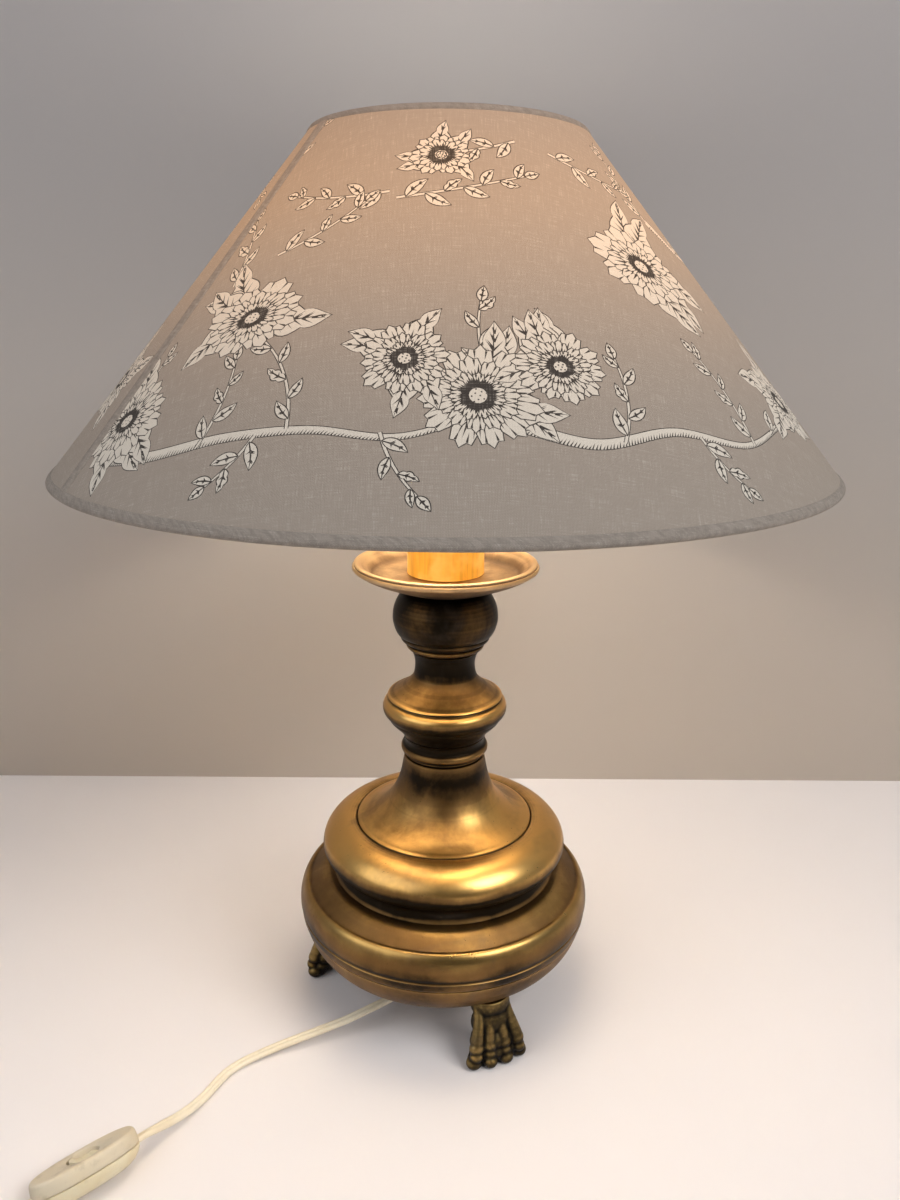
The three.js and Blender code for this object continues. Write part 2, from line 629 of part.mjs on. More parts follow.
piece('holder_screw_shell', turned([
  [SOCKET_BORE - 3, coreTop + FIT],
  [SOCKET_BORE + SOCKET_WALL, coreTop + FIT],
  [SOCKET_BORE + SOCKET_WALL, mouth - 2],
  [SOCKET_BORE, mouth - 2],
  [SOCKET_BORE, coreTop + FIT + SOCKET_WALL],
  [SOCKET_BORE - 3, coreTop + FIT + SOCKET_WALL],
], COLUMN_SIDES), STEEL);
piece('holder_contact', disc(CONTACT_RADIUS, coreTop + FIT, bulbLow - 1.6 - FIT, 12), STEEL);

// Threaded tube with its nuts: it clamps everything from the plate to the lampholder's cup
const tubeLow = plateLow - TUBE_BELOW_PLATE;
const tubeTop = cupLow + HOLDER_WALL + TUBE_IN_CUP;
piece('threaded_tube', tube(TUBE_BORE, TUBE_RADIUS, tubeLow, tubeTop, SMALL_SIDES), STEEL);
const washerTop = plateLow - FIT;
piece('bottom_washer', tube(
  TUBE_RADIUS + FIT, WASHER_RADIUS, washerTop - WASHER_THICKNESS, washerTop, SMALL_SIDES,
), STEEL);
const nutTop = washerTop - WASHER_THICKNESS - FIT;
const hexNut = (low, high) => cut(disc(NUT_RADIUS, low, high, 6), [
  disc(TUBE_RADIUS + FIT, low - 1, high + 1, SMALL_SIDES),
]);
piece('bottom_nut', hexNut(nutTop - NUT_HEIGHT, nutTop), STEEL);
const lockLow = cupLow + HOLDER_WALL + FIT;
piece('lock_nut', hexNut(lockLow, lockLow + TUBE_IN_CUP - 1.5), STEEL);

// Bulb: cap, contact, glass and the filament's stem
const capHigh = bulbLow + BULB_CAP_HEIGHT;
const neck = BULB_CAP_RADIUS - 0.6;
piece('bulb_cap', turned([
  [5.2, bulbLow],
  [BULB_CAP_RADIUS - 3, bulbLow],
  [BULB_CAP_RADIUS, bulbLow + 3],
  [BULB_CAP_RADIUS, capHigh],
  [BULB_CAP_RADIUS - 0.6, capHigh],
  [BULB_CAP_RADIUS - 0.6, bulbLow + 3.6],
  [BULB_CAP_RADIUS - 3.4, bulbLow + 0.9],
  [5.2, bulbLow + 0.9],
], COLUMN_SIDES), STEEL);
piece('bulb_contact', turned([
  [0, bulbLow - 1.6],
  [CONTACT_RADIUS - 1.2, bulbLow - 1.6],
  [CONTACT_RADIUS, bulbLow - 0.4],
  [CONTACT_RADIUS, bulbLow + 1.6],
  [0, bulbLow + 1.6],
], 16), STEEL);
const glassLow = capHigh + FIT;
const glassMiddle = glassLow + BULB_LENGTH - BULB_RADIUS;
const glassOutside = [
  [neck, glassLow],
  [neck + 0.8, glassLow + 6],
  [17.6, glassLow + 17],
  [26, glassLow + 33],
  ...arc(0, glassMiddle, BULB_RADIUS, BULB_RADIUS, -16, 90, 5),
];
glassOutside[glassOutside.length - 1][0] = 0;
const glassInside = [
  [0, glassMiddle + BULB_RADIUS - BULB_GLASS],
  ...arc(0, glassMiddle, BULB_RADIUS - 2.4, BULB_RADIUS - 2.4, 50, -10, 1),
  [neck - BULB_GLASS, glassLow + 7],
  [neck - BULB_GLASS, glassLow],
];
piece('bulb_glass', turned([...glassOutside, ...glassInside], COLUMN_SIDES),
  { color: 0xfff1d8, roughness: 0.25, metalness: 0 });
piece('bulb_stem', turned([
  [0, bulbLow + 2.2],
  [3.4, bulbLow + 2.2],
  [3.4, glassLow + 10],
  [2.2, glassMiddle - 6],
  [7, glassMiddle + 2],
  [7, glassMiddle + 6],
  [0, glassMiddle + 9],
], 8), { color: 0xf4e6c8, roughness: 0.3, metalness: 0 });

// Shade: fabric cover with rolled hems, stiff backing, bottom wire, and the top frame
const fitterLow = seatTop + FIT;
const fitterTop = fitterLow + FITTER_THICKNESS;
const shadeTop = fitterLow + FITTER_DROP;
const slope = new THREE.Vector2(SHADE_BOTTOM_RADIUS - SHADE_TOP_RADIUS, -SHADE_HEIGHT);
const slant = slope.length();
slope.normalize();
const inward = new THREE.Vector2(slope.y, -slope.x);
const hemInner = WIRE_RADIUS + 2 * FIT;
const hemMiddle = hemInner + COVER / 2;
const along = (start, run, drop) => [
  start[0] + slope.x * run + inward.x * drop, start[1] + slope.y * run + inward.y * drop,
];
const topEdge = [SHADE_TOP_RADIUS, shadeTop - 1];
const faceStart = along(topEdge, 0, COVER / 2);
const topWire = along(faceStart, hemMiddle, hemMiddle);
const bottomWire = along(faceStart, slant - hemMiddle - 1, hemMiddle);

// Closed outline of a bent strip, from its middle line
function strip(line, thickness) {
  const normals = line.map((_, index) => {
    const before = line[Math.max(index - 1, 0)];
    const after = line[Math.min(index + 1, line.length - 1)];
    const way = new THREE.Vector2(after[0] - before[0], after[1] - before[1]).normalize();
    return [-way.y, way.x];
  });
  const side = (sign) => line.map(([x, y], index) => (
    [x + sign * normals[index][0] * thickness / 2, y + sign * normals[index][1] * thickness / 2]
  ));
  return [...side(-1), ...side(1).reverse()];
}

// Points round a wire, from one direction to another in the slope's frame (degrees)
function round(centre, radius, from, to, count) {
  return Array.from({ length: count + 1 }, (_, step) => {
    const angle = radians(from + (to - from) * step / count);
    return along(centre, radius * Math.cos(angle), radius * Math.sin(angle));
  });
}
const coverLine = [
  along(topWire, HEM_TUCK, hemMiddle),
  ...round(topWire, hemMiddle, 90, 270, 3),
  ...round(bottomWire, hemMiddle, -90, 90, 3),
  along(bottomWire, -HEM_TUCK, hemMiddle),
];
const spokeLow = [FITTER_RADIUS - SPOKE_RADIUS - FIT, fitterTop + FIT + SPOKE_RADIUS / 2];
const spokeHigh = [topWire[0] - hemMiddle - COVER / 2 - SPOKE_RADIUS, topWire[1]];
const spokeAngles = Array.from({ length: SPOKE_COUNT }, (_, index) => (
  Math.PI / 2 + index * 2 * Math.PI / SPOKE_COUNT
));
const atSpoke = ([radius, height], angle) => [radius * Math.cos(angle), radius * Math.sin(angle), height];
piece('shade_cover', turned(strip(coverLine.reverse(), COVER), BODY_SIDES), FABRIC);
const backingDrop = COVER / 2 + FIT + BACKING / 2;
const backingStart = hemMiddle + WIRE_RADIUS + FIT + COVER;
piece('shade_backing', turned(strip([
  along(faceStart, slant - backingStart - 1, backingDrop),
  along(faceStart, backingStart, backingDrop),
], BACKING), BODY_SIDES), { color: 0xf1ede4, roughness: 0.6, metalness: 0 });

function wireRing(centre, radius, sides) {
  return turned(arc(centre[0], centre[1], radius, radius, 0, 270, 3), sides);
}
piece('shade_bottom_wire', wireRing(bottomWire, WIRE_RADIUS, BODY_SIDES), STEEL);
piece('shade_top_wire', wireRing(topWire, WIRE_RADIUS, BODY_SIDES), STEEL);
piece('shade_fitter', tube(skirtOutside + FIT, FITTER_RADIUS, fitterLow, fitterTop, COLUMN_SIDES), STEEL);
['shade_arm_back', 'shade_arm_left', 'shade_arm_right'].forEach((name, index) => {
  const [low, high] = [spokeLow, spokeHigh].map((end) => atSpoke(end, spokeAngles[index]));
  piece(name, rod(low, high, SPOKE_RADIUS, 8), STEEL);
});

// Ring nut that holds the shade down
const ringLow = fitterTop + FIT;
const knurl = new THREE.Shape();
for (let tooth = 0; tooth < RING_NUT_KNURLS * 2; tooth += 1) {
  const angle = tooth * Math.PI / RING_NUT_KNURLS;
  const radius = tooth % 2 ? RING_NUT_RADIUS : RING_NUT_RADIUS - 0.8;
  knurl[tooth ? 'lineTo' : 'moveTo'](radius * Math.cos(angle), radius * Math.sin(angle));
}
knurl.closePath();
knurl.holes.push(new THREE.Path().absarc(0, 0, skirtOutside + FIT, 0, Math.PI * 2, true));
piece('shade_ring_nut', new THREE.ExtrudeGeometry(knurl, {
  depth: RING_NUT_HEIGHT, bevelEnabled: false, curveSegments: 20,
}).translate(0, 0, ringLow), BRASS);

// Tapered bush where the lead leaves the base
const bushBore = CORD_WIDTH / 2 + 0.65;
const bushTop = FLOOR_HEIGHT - FIT;
const bushAlong = (distance) => bushMouth.clone().addScaledVector(bushHeading, distance).toArray();
const bushTurn = new THREE.Quaternion().setFromUnitVectors(new THREE.Vector3(0, 1, 0), bushHeading);
const bushTaper = new THREE.CylinderGeometry(BUSH_NARROW, BUSH_WIDE, BUSH_LENGTH, SMALL_SIDES)
  .translate(0, -BUSH_LENGTH / 2, 0)
  .applyQuaternion(bushTurn)
  .translate(...BUSH_MOUTH);
const aboveFloor = new THREE.BoxGeometry(60, 60, 20).translate(0, 0, bushTop + 10)
  .translate(bushCrossing.x, bushCrossing.y, 0);
piece('cord_bush', cut(joined([
  disc(BUSH_PLUG_RADIUS, bushTop - BUSH_FLANGE, bushTop + SHEET + 2, SMALL_SIDES)
    .translate(bushCrossing.x, bushCrossing.y, 0),
  disc(BUSH_FLANGE_RADIUS, bushTop - BUSH_FLANGE, bushTop, SMALL_SIDES)
    .translate(bushCrossing.x, bushCrossing.y, 0),
  cut(bushTaper, [aboveFloor]),
]), [rod(bushAlong(-BUSH_LENGTH - 30), bushAlong(5), bushBore, SMALL_SIDES)]), IVORY);

// Lead inside the lamp: from the bush, through the hollow base, up the tube to the lampholder
const innerStart = bushMouth.clone().addScaledVector(bushHeading, -0.4);
const innerPoints = [
  innerStart.toArray(),
  bushTail.toArray(),
  bushAlong(-BUSH_LENGTH - 12),
  [20, -29.5, 51.5],
  [20, -20, 57.5],
  [12.5, -10, 62.5],
  [4, -3, 67],
  [0.3, -0.3, tubeLow - 2],
  [0, 0, tubeLow + 6],
  [0, 0, 150],
  [0, 0, 250],
  [0, 0, 340],
  [0, 0, coreLow - 4],
  [0, 0, coreTop - 5],
];
piece('inner_lead', lead(pathOf(innerPoints.reverse()), edgeSection(), INNER_STEPS), IVORY);

// Switch: a long oval body in two shells that lies on one edge
const switchPlace = new THREE.Matrix4()
  .makeTranslation(...SWITCH_CENTRE)
  .multiply(new THREE.Matrix4().makeRotationZ(radians(SWITCH_TURN)))
  .multiply(new THREE.Matrix4().makeRotationX(radians(-SWITCH_ROLL)));

// Oval outline with full sides: |x/a|^n + |y/b|^n = 1
function oval(length, width, count = 18, power = 2.4) {
  return Array.from({ length: count }, (_, step) => {
    const angle = 2 * Math.PI * step / count;
    const c = Math.cos(angle);
    const s = Math.sin(angle);
    return [
      Math.sign(c) * Math.abs(c) ** (2 / power) * length / 2,
      Math.sign(s) * Math.abs(s) ** (2 / power) * width / 2,
    ];
  });
}

// Solid stacked from outlines at rising heights
function stacked(levels) {
  const count = levels[0].outline.length;
  const positions = [];
  levels.forEach(({ outline, height }) => outline.forEach(([x, y]) => positions.push(x, y, height)));
  const index = [];
  for (let level = 0; level < levels.length - 1; level += 1) {
    for (let step = 0; step < count; step += 1) {
      const a = level * count + step;
      const b = level * count + (step + 1) % count;
      index.push(a, b, b + count, a, b + count, a + count);
    }
  }
  const top = (levels.length - 1) * count;
  for (let step = 1; step < count - 1; step += 1) {
    index.push(0, step + 1, step);
    index.push(top, top + step, top + step + 1);
  }
  const geometry = new THREE.BufferGeometry();
  geometry.setAttribute('position', new THREE.Float32BufferAttribute(positions, 3));
  geometry.setIndex(index);
  return geometry;
}

const seam = -SWITCH_TOP_DEPTH;
const switchBottom = seam - SWITCH_BASE_DEPTH;
const rockerPivot = -WELL_DEPTH;
const headTop = switchBottom + 2.4;
const leadPort = (from, to) => new THREE.BoxGeometry(
  to - from, CORD_WIDTH + 2 * FIT, CORD_THICKNESS + 2 * FIT,
).translate((from + to) / 2, 0, seam);
const ports = [
  leadPort(SWITCH_LENGTH / 2 - 11, SWITCH_LENGTH / 2 + 5),
  leadPort(-SWITCH_LENGTH / 2 - 5, 11 - SWITCH_LENGTH / 2),
];
const topShell = stacked([
  { outline: oval(SWITCH_LENGTH + 1.4, SWITCH_WIDTH + 1.4), height: seam + FIT / 2 },
  { outline: oval(SWITCH_LENGTH + 0.4, SWITCH_WIDTH + 0.4), height: -1 },
  { outline: oval(SWITCH_LENGTH - 1.2, SWITCH_WIDTH - 1.2), height: 0 },
]);
const wallInside = oval(SWITCH_LENGTH - 2 * SWITCH_WALL, SWITCH_WIDTH - 2 * SWITCH_WALL);
const topCavity = stacked([
  { outline: wallInside, height: seam - 1 },
  { outline: wallInside, height: -SWITCH_WALL },
]);
const well = disc(WELL_RADIUS, -SWITCH_TOP_DEPTH - 2, 2, 24);
const lugs = [-1, 1].map((sign) => new THREE.BoxGeometry(5, 2.4, 6.4).translate(
  0, sign * (WELL_RADIUS + 1.5), -SWITCH_WALL - 2.9,
));
const topBosses = SCREW_PLACES.map((x) => disc(3, seam + FIT / 2, -1, 12).translate(x, 0, 0));
const pilots = SCREW_PLACES.map((x) => disc(SWITCH_SCREW + FIT, seam - 2, -2, 12).translate(x, 0, 0));
const pinReach = PIN_HALF + FIT;
const pinHoles = rod([0, -pinReach, rockerPivot], [0, pinReach, rockerPivot], PIN_RADIUS + FIT, 12);
const topBody = geometryOf([...lugs, ...topBosses].map(solid).reduce(
  (whole, next) => whole.add(next), solid(cut(topShell, [topCavity])),
));
piece('switch_top', cut(topBody, [well, ...pilots, pinHoles, ...ports]), DRAB, switchPlace);
const baseShell = stacked([
  { outline: oval(SWITCH_LENGTH - 14, SWITCH_WIDTH - 9), height: switchBottom },
  { outline: oval(SWITCH_LENGTH - 5, SWITCH_WIDTH - 3.4), height: switchBottom + 2.4 },
  { outline: oval(SWITCH_LENGTH, SWITCH_WIDTH), height: switchBottom + 5.4 },
  { outline: oval(SWITCH_LENGTH + 1.2, SWITCH_WIDTH + 1.2), height: seam - FIT / 2 },
]);
const baseCavity = stacked([
  { outline: oval(SWITCH_LENGTH - 16, SWITCH_WIDTH - 11), height: switchBottom + SWITCH_WALL },
  { outline: wallInside, height: switchBottom + 5.6 },
  { outline: wallInside, height: seam + 1 },
]);
const baseBosses = SCREW_PLACES.map((x) => (
  disc(3.6, switchBottom + 0.5, seam - FIT / 2, 12).translate(x, 0, 0)
));
const screwHoles = SCREW_PLACES.flatMap((x) => [
  disc(SWITCH_SCREW + FIT, switchBottom - 1, seam + 1, 12).translate(x, 0, 0),
  disc(SCREW_HEAD + FIT, switchBottom - 1, headTop + FIT, 12).translate(x, 0, 0),
]);
const baseBody = geometryOf(baseBosses.map(solid).reduce(
  (whole, next) => whole.add(next), solid(cut(baseShell, [baseCavity])),
));
piece('switch_base', cut(baseBody, [...screwHoles, ...ports]), IVORY, switchPlace);
const switchScrew = (x) => joined([
  disc(SCREW_HEAD, switchBottom + 0.4, headTop, 12),
  disc(SWITCH_SCREW, headTop - 0.2, seam + 4, 12),
]).translate(x, 0, 0);
piece('switch_screw_near', switchScrew(SCREW_PLACES[0]), STEEL, switchPlace);
piece('switch_screw_far', switchScrew(SCREW_PLACES[1]), STEEL, switchPlace);

// Rocker: a round button with a dip across it, on its pin
const rockerTilt = new THREE.Matrix4()
  .makeTranslation(0, 0, rockerPivot)
  .multiply(new THREE.Matrix4().makeRotationY(radians(ROCKER_TILT)))
  .multiply(new THREE.Matrix4().makeTranslation(0, 0, -rockerPivot));
const rockerSide = new THREE.Shape([
  [-ROCKER_RADIUS, -4.4], [ROCKER_RADIUS, -4.4], [ROCKER_RADIUS - 0.4, -1.2], [ROCKER_RADIUS - 2.6, -1],
  [3, -2.6], [0, -3.1], [-3, -2.6], [2.6 - ROCKER_RADIUS, -1], [0.4 - ROCKER_RADIUS, -1.2],
].map(([x, z]) => new THREE.Vector2(x, z)));
const rockerBlank = new THREE.ExtrudeGeometry(rockerSide, { depth: 2 * ROCKER_RADIUS, bevelEnabled: false })
  .translate(0, 0, -ROCKER_RADIUS)
  .rotateX(Math.PI / 2);
const rockerFoot = new THREE.BoxGeometry(4, 9, 3).translate(0, 0, -5.6);
const rockerRound = solid(disc(ROCKER_RADIUS - 0.25, -12, 2, 24));
const rockerShape = geometryOf(solid(joined([rockerBlank, rockerFoot])).intersect(rockerRound));
const rockerBore = rod([0, -12, rockerPivot], [0, 12, rockerPivot], PIN_RADIUS + FIT, 12);
const rockerPlace = switchPlace.clone().multiply(rockerTilt);
piece('switch_rocker', cut(rockerShape, [rockerBore]), IVORY, rockerPlace);
piece('rocker_pin', rod(
  [0, -PIN_HALF, rockerPivot], [0, PIN_HALF, rockerPivot], PIN_RADIUS, 12,
), STEEL, switchPlace);

// Contact block under the rocker and the two screws from below
const blockTop = rockerPivot - 3.6;
const blockLow = switchBottom + SWITCH_WALL + FIT;
piece('switch_contacts', joined([
  new THREE.BoxGeometry(17, 9, blockTop - blockLow - 1.4).translate(0, 0, (blockTop - 1.4 + blockLow) / 2),
  new THREE.BoxGeometry(3, 6, 3).translate(6.5, 0, blockTop - 2.2),
  new THREE.BoxGeometry(3, 6, 3).translate(-6.5, 0, blockTop - 2.2),
]), { color: 0x9a8a60, roughness: 0.4, metalness: 0.6 }, switchPlace);

// Lead on the table: lamp to switch, switch to coil
const portOut = new THREE.Vector3(SWITCH_LENGTH / 2 + 0.6 + FIT, 0, seam).applyMatrix4(switchPlace);
const portIn = new THREE.Vector3(-SWITCH_LENGTH / 2 - 0.6 - FIT, 0, seam).applyMatrix4(switchPlace);
const portWay = new THREE.Vector3(1, 0, 0).transformDirection(switchPlace);
const runPath = pathOf([
  portOut.toArray(),
  portOut.clone().addScaledVector(portWay, 3).toArray(),
  ...RUN_POINTS.slice().reverse(),
  bushAlong(FIT + 4),
  bushAlong(FIT),
]);
piece('cord_run', lead(runPath, flatSection(), RUN_STEPS), IVORY);

// Coil: one flat lead wound on edge, in to the middle, up a layer and out again
const coilFrom = radians(COIL_START);
const coilTurn = 2 * Math.PI;
const climbTurns = 0.5;
const layerTurns = (COIL_TURNS - climbTurns) / 2;
const coilOuter = COIL_RADIUS + layerTurns * COIL_PITCH / 2;
const coilInner = COIL_RADIUS - layerTurns * COIL_PITCH / 2;
const layerLow = CORD_WIDTH / 2 + TIE_THICKNESS + FIT + 0.05;
function coilPoint(turns) {
  const layer2 = turns - layerTurns - climbTurns;
  let radius = coilOuter - COIL_PITCH * turns;
  let height = layerLow;
  if (turns > layerTurns) {
    const part = Math.min((turns - layerTurns) / climbTurns, 1);
    const reverse = Math.abs(part - 0.5) * 2;
    radius = coilInner - COIL_PITCH * climbTurns * 0.5 * (1 - reverse ** 2);
    height = layerLow + COIL_LAYER * (part < 1 ? (1 - Math.cos(Math.PI * part)) / 2 : 1);
  }
  if (layer2 > 0) radius = coilInner + COIL_PITCH * layer2;
  const angle = coilFrom + coilTurn * turns;
  return new THREE.Vector3(
    COIL_CENTRE[0] + radius * Math.cos(angle), COIL_CENTRE[1] + radius * Math.sin(angle), height,
  );
}
const coilCount = Math.round(COIL_TURNS * COIL_STEPS);
const coilPath = Array.from({ length: coilCount + 1 }, (_, step) => (
  coilPoint(step * COIL_TURNS / coilCount)
));
const coilWay = (a, b) => coilPath[b].clone().sub(coilPath[a]).setZ(0).normalize();
const startWay = coilWay(0, 1);
const endWay = coilWay(coilCount - 1, coilCount);
const coilStart = coilPath[0].clone();
[1, 2, 3].forEach((step) => {
  coilPath.unshift(coilStart.clone().addScaledVector(startWay, -step * CORD_WIDTH));
});
const coilEnd = coilPath[coilPath.length - 1].clone();
const dropHeight = coilEnd.z - PLUG_HEIGHT / 2;
for (let step = 1; step <= DROP_STEPS; step += 1) {
  const part = step / DROP_STEPS;
  coilPath.push(coilEnd.clone().addScaledVector(endWay, DROP_LENGTH * part)
    .setZ(coilEnd.z - dropHeight * (1 - Math.cos(Math.PI * part)) / 2));
}
const dropEnd = coilPath[coilPath.length - 1].clone();
coilPath.push(dropEnd.clone().addScaledVector(endWay, CORD_WIDTH / 2));
coilPath.push(dropEnd.clone().addScaledVector(endWay, CORD_WIDTH));

const coilSteps = coilPath.length - 1;
const coilCurve = new THREE.CatmullRomCurve3(coilPath);
piece('cord_coil', lead(coilCurve, edgeSection(), coilSteps), IVORY);

const coilFrames = coilCurve.computeFrenetFrames(coilSteps, false);
const coilRings = coilCurve.getSpacedPoints(coilSteps).map((point, step) => edgeSection().map(([x, y]) => (
  point.clone().addScaledVector(coilFrames.normals[step], x).addScaledVector(coilFrames.binormals[step], y)
)));
let coilGap = Infinity;
coilRings.forEach((ring, first) => {
  coilRings.slice(first + COIL_STEPS / 2).forEach((other) => {
    ring.forEach((a) => other.forEach((b) => {
      coilGap = Math.min(coilGap, a.distanceTo(b));
    }));
  });
});
console.log(`least gap in the coil ${coilGap.toFixed(2)} mm`);
if (coilGap < LEAST_COIL_GAP) throw new Error('the coil touches itself');

const coilMouth = coilPath[0].clone().addScaledVector(startWay, -FIT);
const tailPath = pathOf([
  portIn.toArray(),
  portIn.clone().addScaledVector(portWay, -3).toArray(),
  ...TAIL_POINTS,
  coilMouth.clone().addScaledVector(startWay, -4).toArray(),
  coilMouth.toArray(),
]);
piece('cord_tail', lead(tailPath, flatSection(), TAIL_STEPS), IVORY);

// Tie round the coil's turns, at its far side from the plug
const tieInner = coilInner - COIL_PITCH * 0.25 - CORD_THICKNESS / 2 - 0.8;
const tieOuter = coilOuter + CORD_THICKNESS / 2 + 0.8;
const tieHigh = layerLow + COIL_LAYER + CORD_WIDTH / 2 + 0.8;
const tieLow = layerLow - CORD_WIDTH / 2 - FIT;
const frameOf = (inner, outer, low, high) => [[inner, low], [outer, low], [outer, high], [inner, high]]
  .map(([x, y]) => new THREE.Vector2(x, y));
const tieShape = new THREE.Shape(frameOf(
  tieInner - TIE_THICKNESS, tieOuter + TIE_THICKNESS, tieLow - TIE_THICKNESS, tieHigh + TIE_THICKNESS,
));
tieShape.holes.push(new THREE.Path(frameOf(tieInner, tieOuter, tieLow, tieHigh).reverse()));
piece('cord_tie', new THREE.ExtrudeGeometry(tieShape, { depth: TIE_WIDTH, bevelEnabled: false })
  .translate(0, 0, -TIE_WIDTH / 2)
  .rotateX(Math.PI / 2)
  .rotateZ(radians(TIE_PLACE))
  .translate(COIL_CENTRE[0], COIL_CENTRE[1], 0), { color: 0x2b2b2b, roughness: 0.6, metalness: 0 });
const leadLengths = [runPath, tailPath, coilCurve].map((path) => path.getLength().toFixed(0));
console.log(`lead from lamp to switch, switch to coil, coil to plug: ${leadLengths.join(', ')} mm`);

// Plug beside the coil
const plugEnd = coilPath[coilPath.length - 1].clone().addScaledVector(endWay, FIT);
const plugTurn = Math.atan2(endWay.y, endWay.x);
const plugPlace = new THREE.Matrix4()
  .makeTranslation(plugEnd.x, plugEnd.y, PLUG_HEIGHT / 2)
  .multiply(new THREE.Matrix4().makeRotationZ(plugTurn));
const plugOutline = new THREE.Shape();
plugOutline.moveTo(0, -5);
plugOutline.lineTo(7, -6.4);
plugOutline.bezierCurveTo(12, -8, 14, -PLUG_WIDTH / 2, 19, -PLUG_WIDTH / 2);
plugOutline.lineTo(PLUG_LENGTH, -PLUG_WIDTH / 2 + 0.6);
plugOutline.lineTo(PLUG_LENGTH, PLUG_WIDTH / 2 - 0.6);
plugOutline.lineTo(19, PLUG_WIDTH / 2);
plugOutline.bezierCurveTo(14, PLUG_WIDTH / 2, 12, 8, 7, 6.4);
plugOutline.lineTo(0, 5);
plugOutline.closePath();
const pinSockets = [-1, 1].map((sign) => rod(
  [PLUG_LENGTH - 6, sign * PLUG_PIN_PITCH / 2, 0], [PLUG_LENGTH + 2, sign * PLUG_PIN_PITCH / 2, 0],
  PLUG_PIN_RADIUS + FIT, 14,
));
const plugBlank = new THREE.ExtrudeGeometry(plugOutline, {
  depth: PLUG_HEIGHT - 2 * PLUG_ROUNDING,
  curveSegments: 5,
  bevelEnabled: true,
  bevelSize: PLUG_ROUNDING,
  bevelOffset: -PLUG_ROUNDING,
  bevelThickness: PLUG_ROUNDING,
  bevelSegments: 2,
}).translate(0, 0, PLUG_ROUNDING - PLUG_HEIGHT / 2);
piece('plug_body', cut(plugBlank, pinSockets), IVORY, plugPlace);
const plugPin = (sign) => rod(
  [PLUG_LENGTH - 5.5, sign * PLUG_PIN_PITCH / 2, 0],
  [PLUG_LENGTH + PLUG_PIN_LENGTH, sign * PLUG_PIN_PITCH / 2, 0], PLUG_PIN_RADIUS, 14,
);
piece('plug_pin_left', plugPin(1), STEEL, plugPlace);
piece('plug_pin_right', plugPin(-1), STEEL, plugPlace);

export default lamp;
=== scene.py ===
import json
import math
import random

import bmesh
import bpy
import numpy as np
from mathutils import Matrix, Vector
from mathutils.bvhtree import BVHTree
from mathutils.geometry import delaunay_2d_cdt

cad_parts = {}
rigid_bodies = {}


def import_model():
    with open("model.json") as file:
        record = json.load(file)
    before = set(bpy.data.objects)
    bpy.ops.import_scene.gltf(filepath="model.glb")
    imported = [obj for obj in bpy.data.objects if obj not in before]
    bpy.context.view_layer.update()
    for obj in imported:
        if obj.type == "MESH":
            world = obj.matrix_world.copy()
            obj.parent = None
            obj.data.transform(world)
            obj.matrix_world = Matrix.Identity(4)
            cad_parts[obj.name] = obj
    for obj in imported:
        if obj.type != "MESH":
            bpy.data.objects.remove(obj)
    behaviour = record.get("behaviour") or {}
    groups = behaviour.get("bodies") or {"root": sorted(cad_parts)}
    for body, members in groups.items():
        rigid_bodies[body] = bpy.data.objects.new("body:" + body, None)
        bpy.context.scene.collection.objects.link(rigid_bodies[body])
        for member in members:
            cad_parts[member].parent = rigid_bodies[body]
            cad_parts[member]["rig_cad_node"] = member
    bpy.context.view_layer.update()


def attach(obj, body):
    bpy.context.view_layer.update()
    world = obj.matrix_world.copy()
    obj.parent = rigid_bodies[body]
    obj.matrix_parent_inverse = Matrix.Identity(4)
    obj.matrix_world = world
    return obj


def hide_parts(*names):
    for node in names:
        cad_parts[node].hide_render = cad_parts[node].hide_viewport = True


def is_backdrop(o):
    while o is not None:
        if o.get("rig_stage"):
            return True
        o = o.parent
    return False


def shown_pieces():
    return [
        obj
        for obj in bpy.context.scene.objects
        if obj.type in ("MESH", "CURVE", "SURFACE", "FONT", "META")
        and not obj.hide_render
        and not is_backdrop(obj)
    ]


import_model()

bl_info = {
    "name": "Brass Table Lamp",
    "version": (1, 0, 0),
    "blender": (4, 5, 0),
    "location": "3D View > Sidebar > Lamp",
    "description": "Dresses the lamp's frame in brass, printed cloth, a lead and a switch",
    "category": "Object",
}

MM = 0.001
STAND, SHADE, BULB_GLASS, BULB_SCREW, ROCKER = "lamp_stand", "shade", "bulb_envelope", "bulb_screw", "rocker"

# Outlines of the turned pieces: radius and height in mm, "c" keeps a corner
BOWL = [
    (83, 41, "c"), (86, 42.4), (89.2, 46), (92.4, 51.2), (94.6, 57), (95.5, 60.5, "c"), (93.6, 60.5, "c"),
    (90.4, 51), (86, 45), (82, 42.8, "c"), (12, 42.8, "c"), (12, 41, "c"),
]
BASE_SHELL = [
    (94.6, 61.1, "c"), (95.7, 61.1), (96.2, 62), (96.9, 66.6, "c"), (96.2, 67.3), (96.6, 68, "c"),
    (97.3, 69.6), (97.5, 71.5), (97.2, 76), (96, 80.5), (94.2, 83.9), (92.8, 85.3), (91.6, 85.7),
    (90.9, 85.4, "c"), (90.2, 85.6), (88.6, 86.7), (85.8, 88.6), (82.8, 90.6), (80.2, 92), (77.9, 92.6, "c"),
    (70, 92.6, "c"), (70, 91), (78, 90), (84, 86.6), (90, 82), (94.4, 76), (94.6, 68, "c"),
]
CUSHION = [
    (74.4, 93.1, "c"), (73.6, 94.6), (72.8, 97), (72.4, 99.6), (73.4, 102.2), (75.2, 104.2, "c"),
    (77.2, 105), (79.4, 107.4), (80.9, 110), (81.1, 112.4), (80, 117), (77, 121.6), (72.6, 125.4), (67, 128),
    (61.4, 128.9), (59, 128.6, "c"), (58.2, 127.2, "c"), (56, 126.2, "c"), (48, 126.2, "c"), (48, 124),
    (60, 124), (74, 119), (77, 111), (70, 103), (66, 93.1, "c"),
]
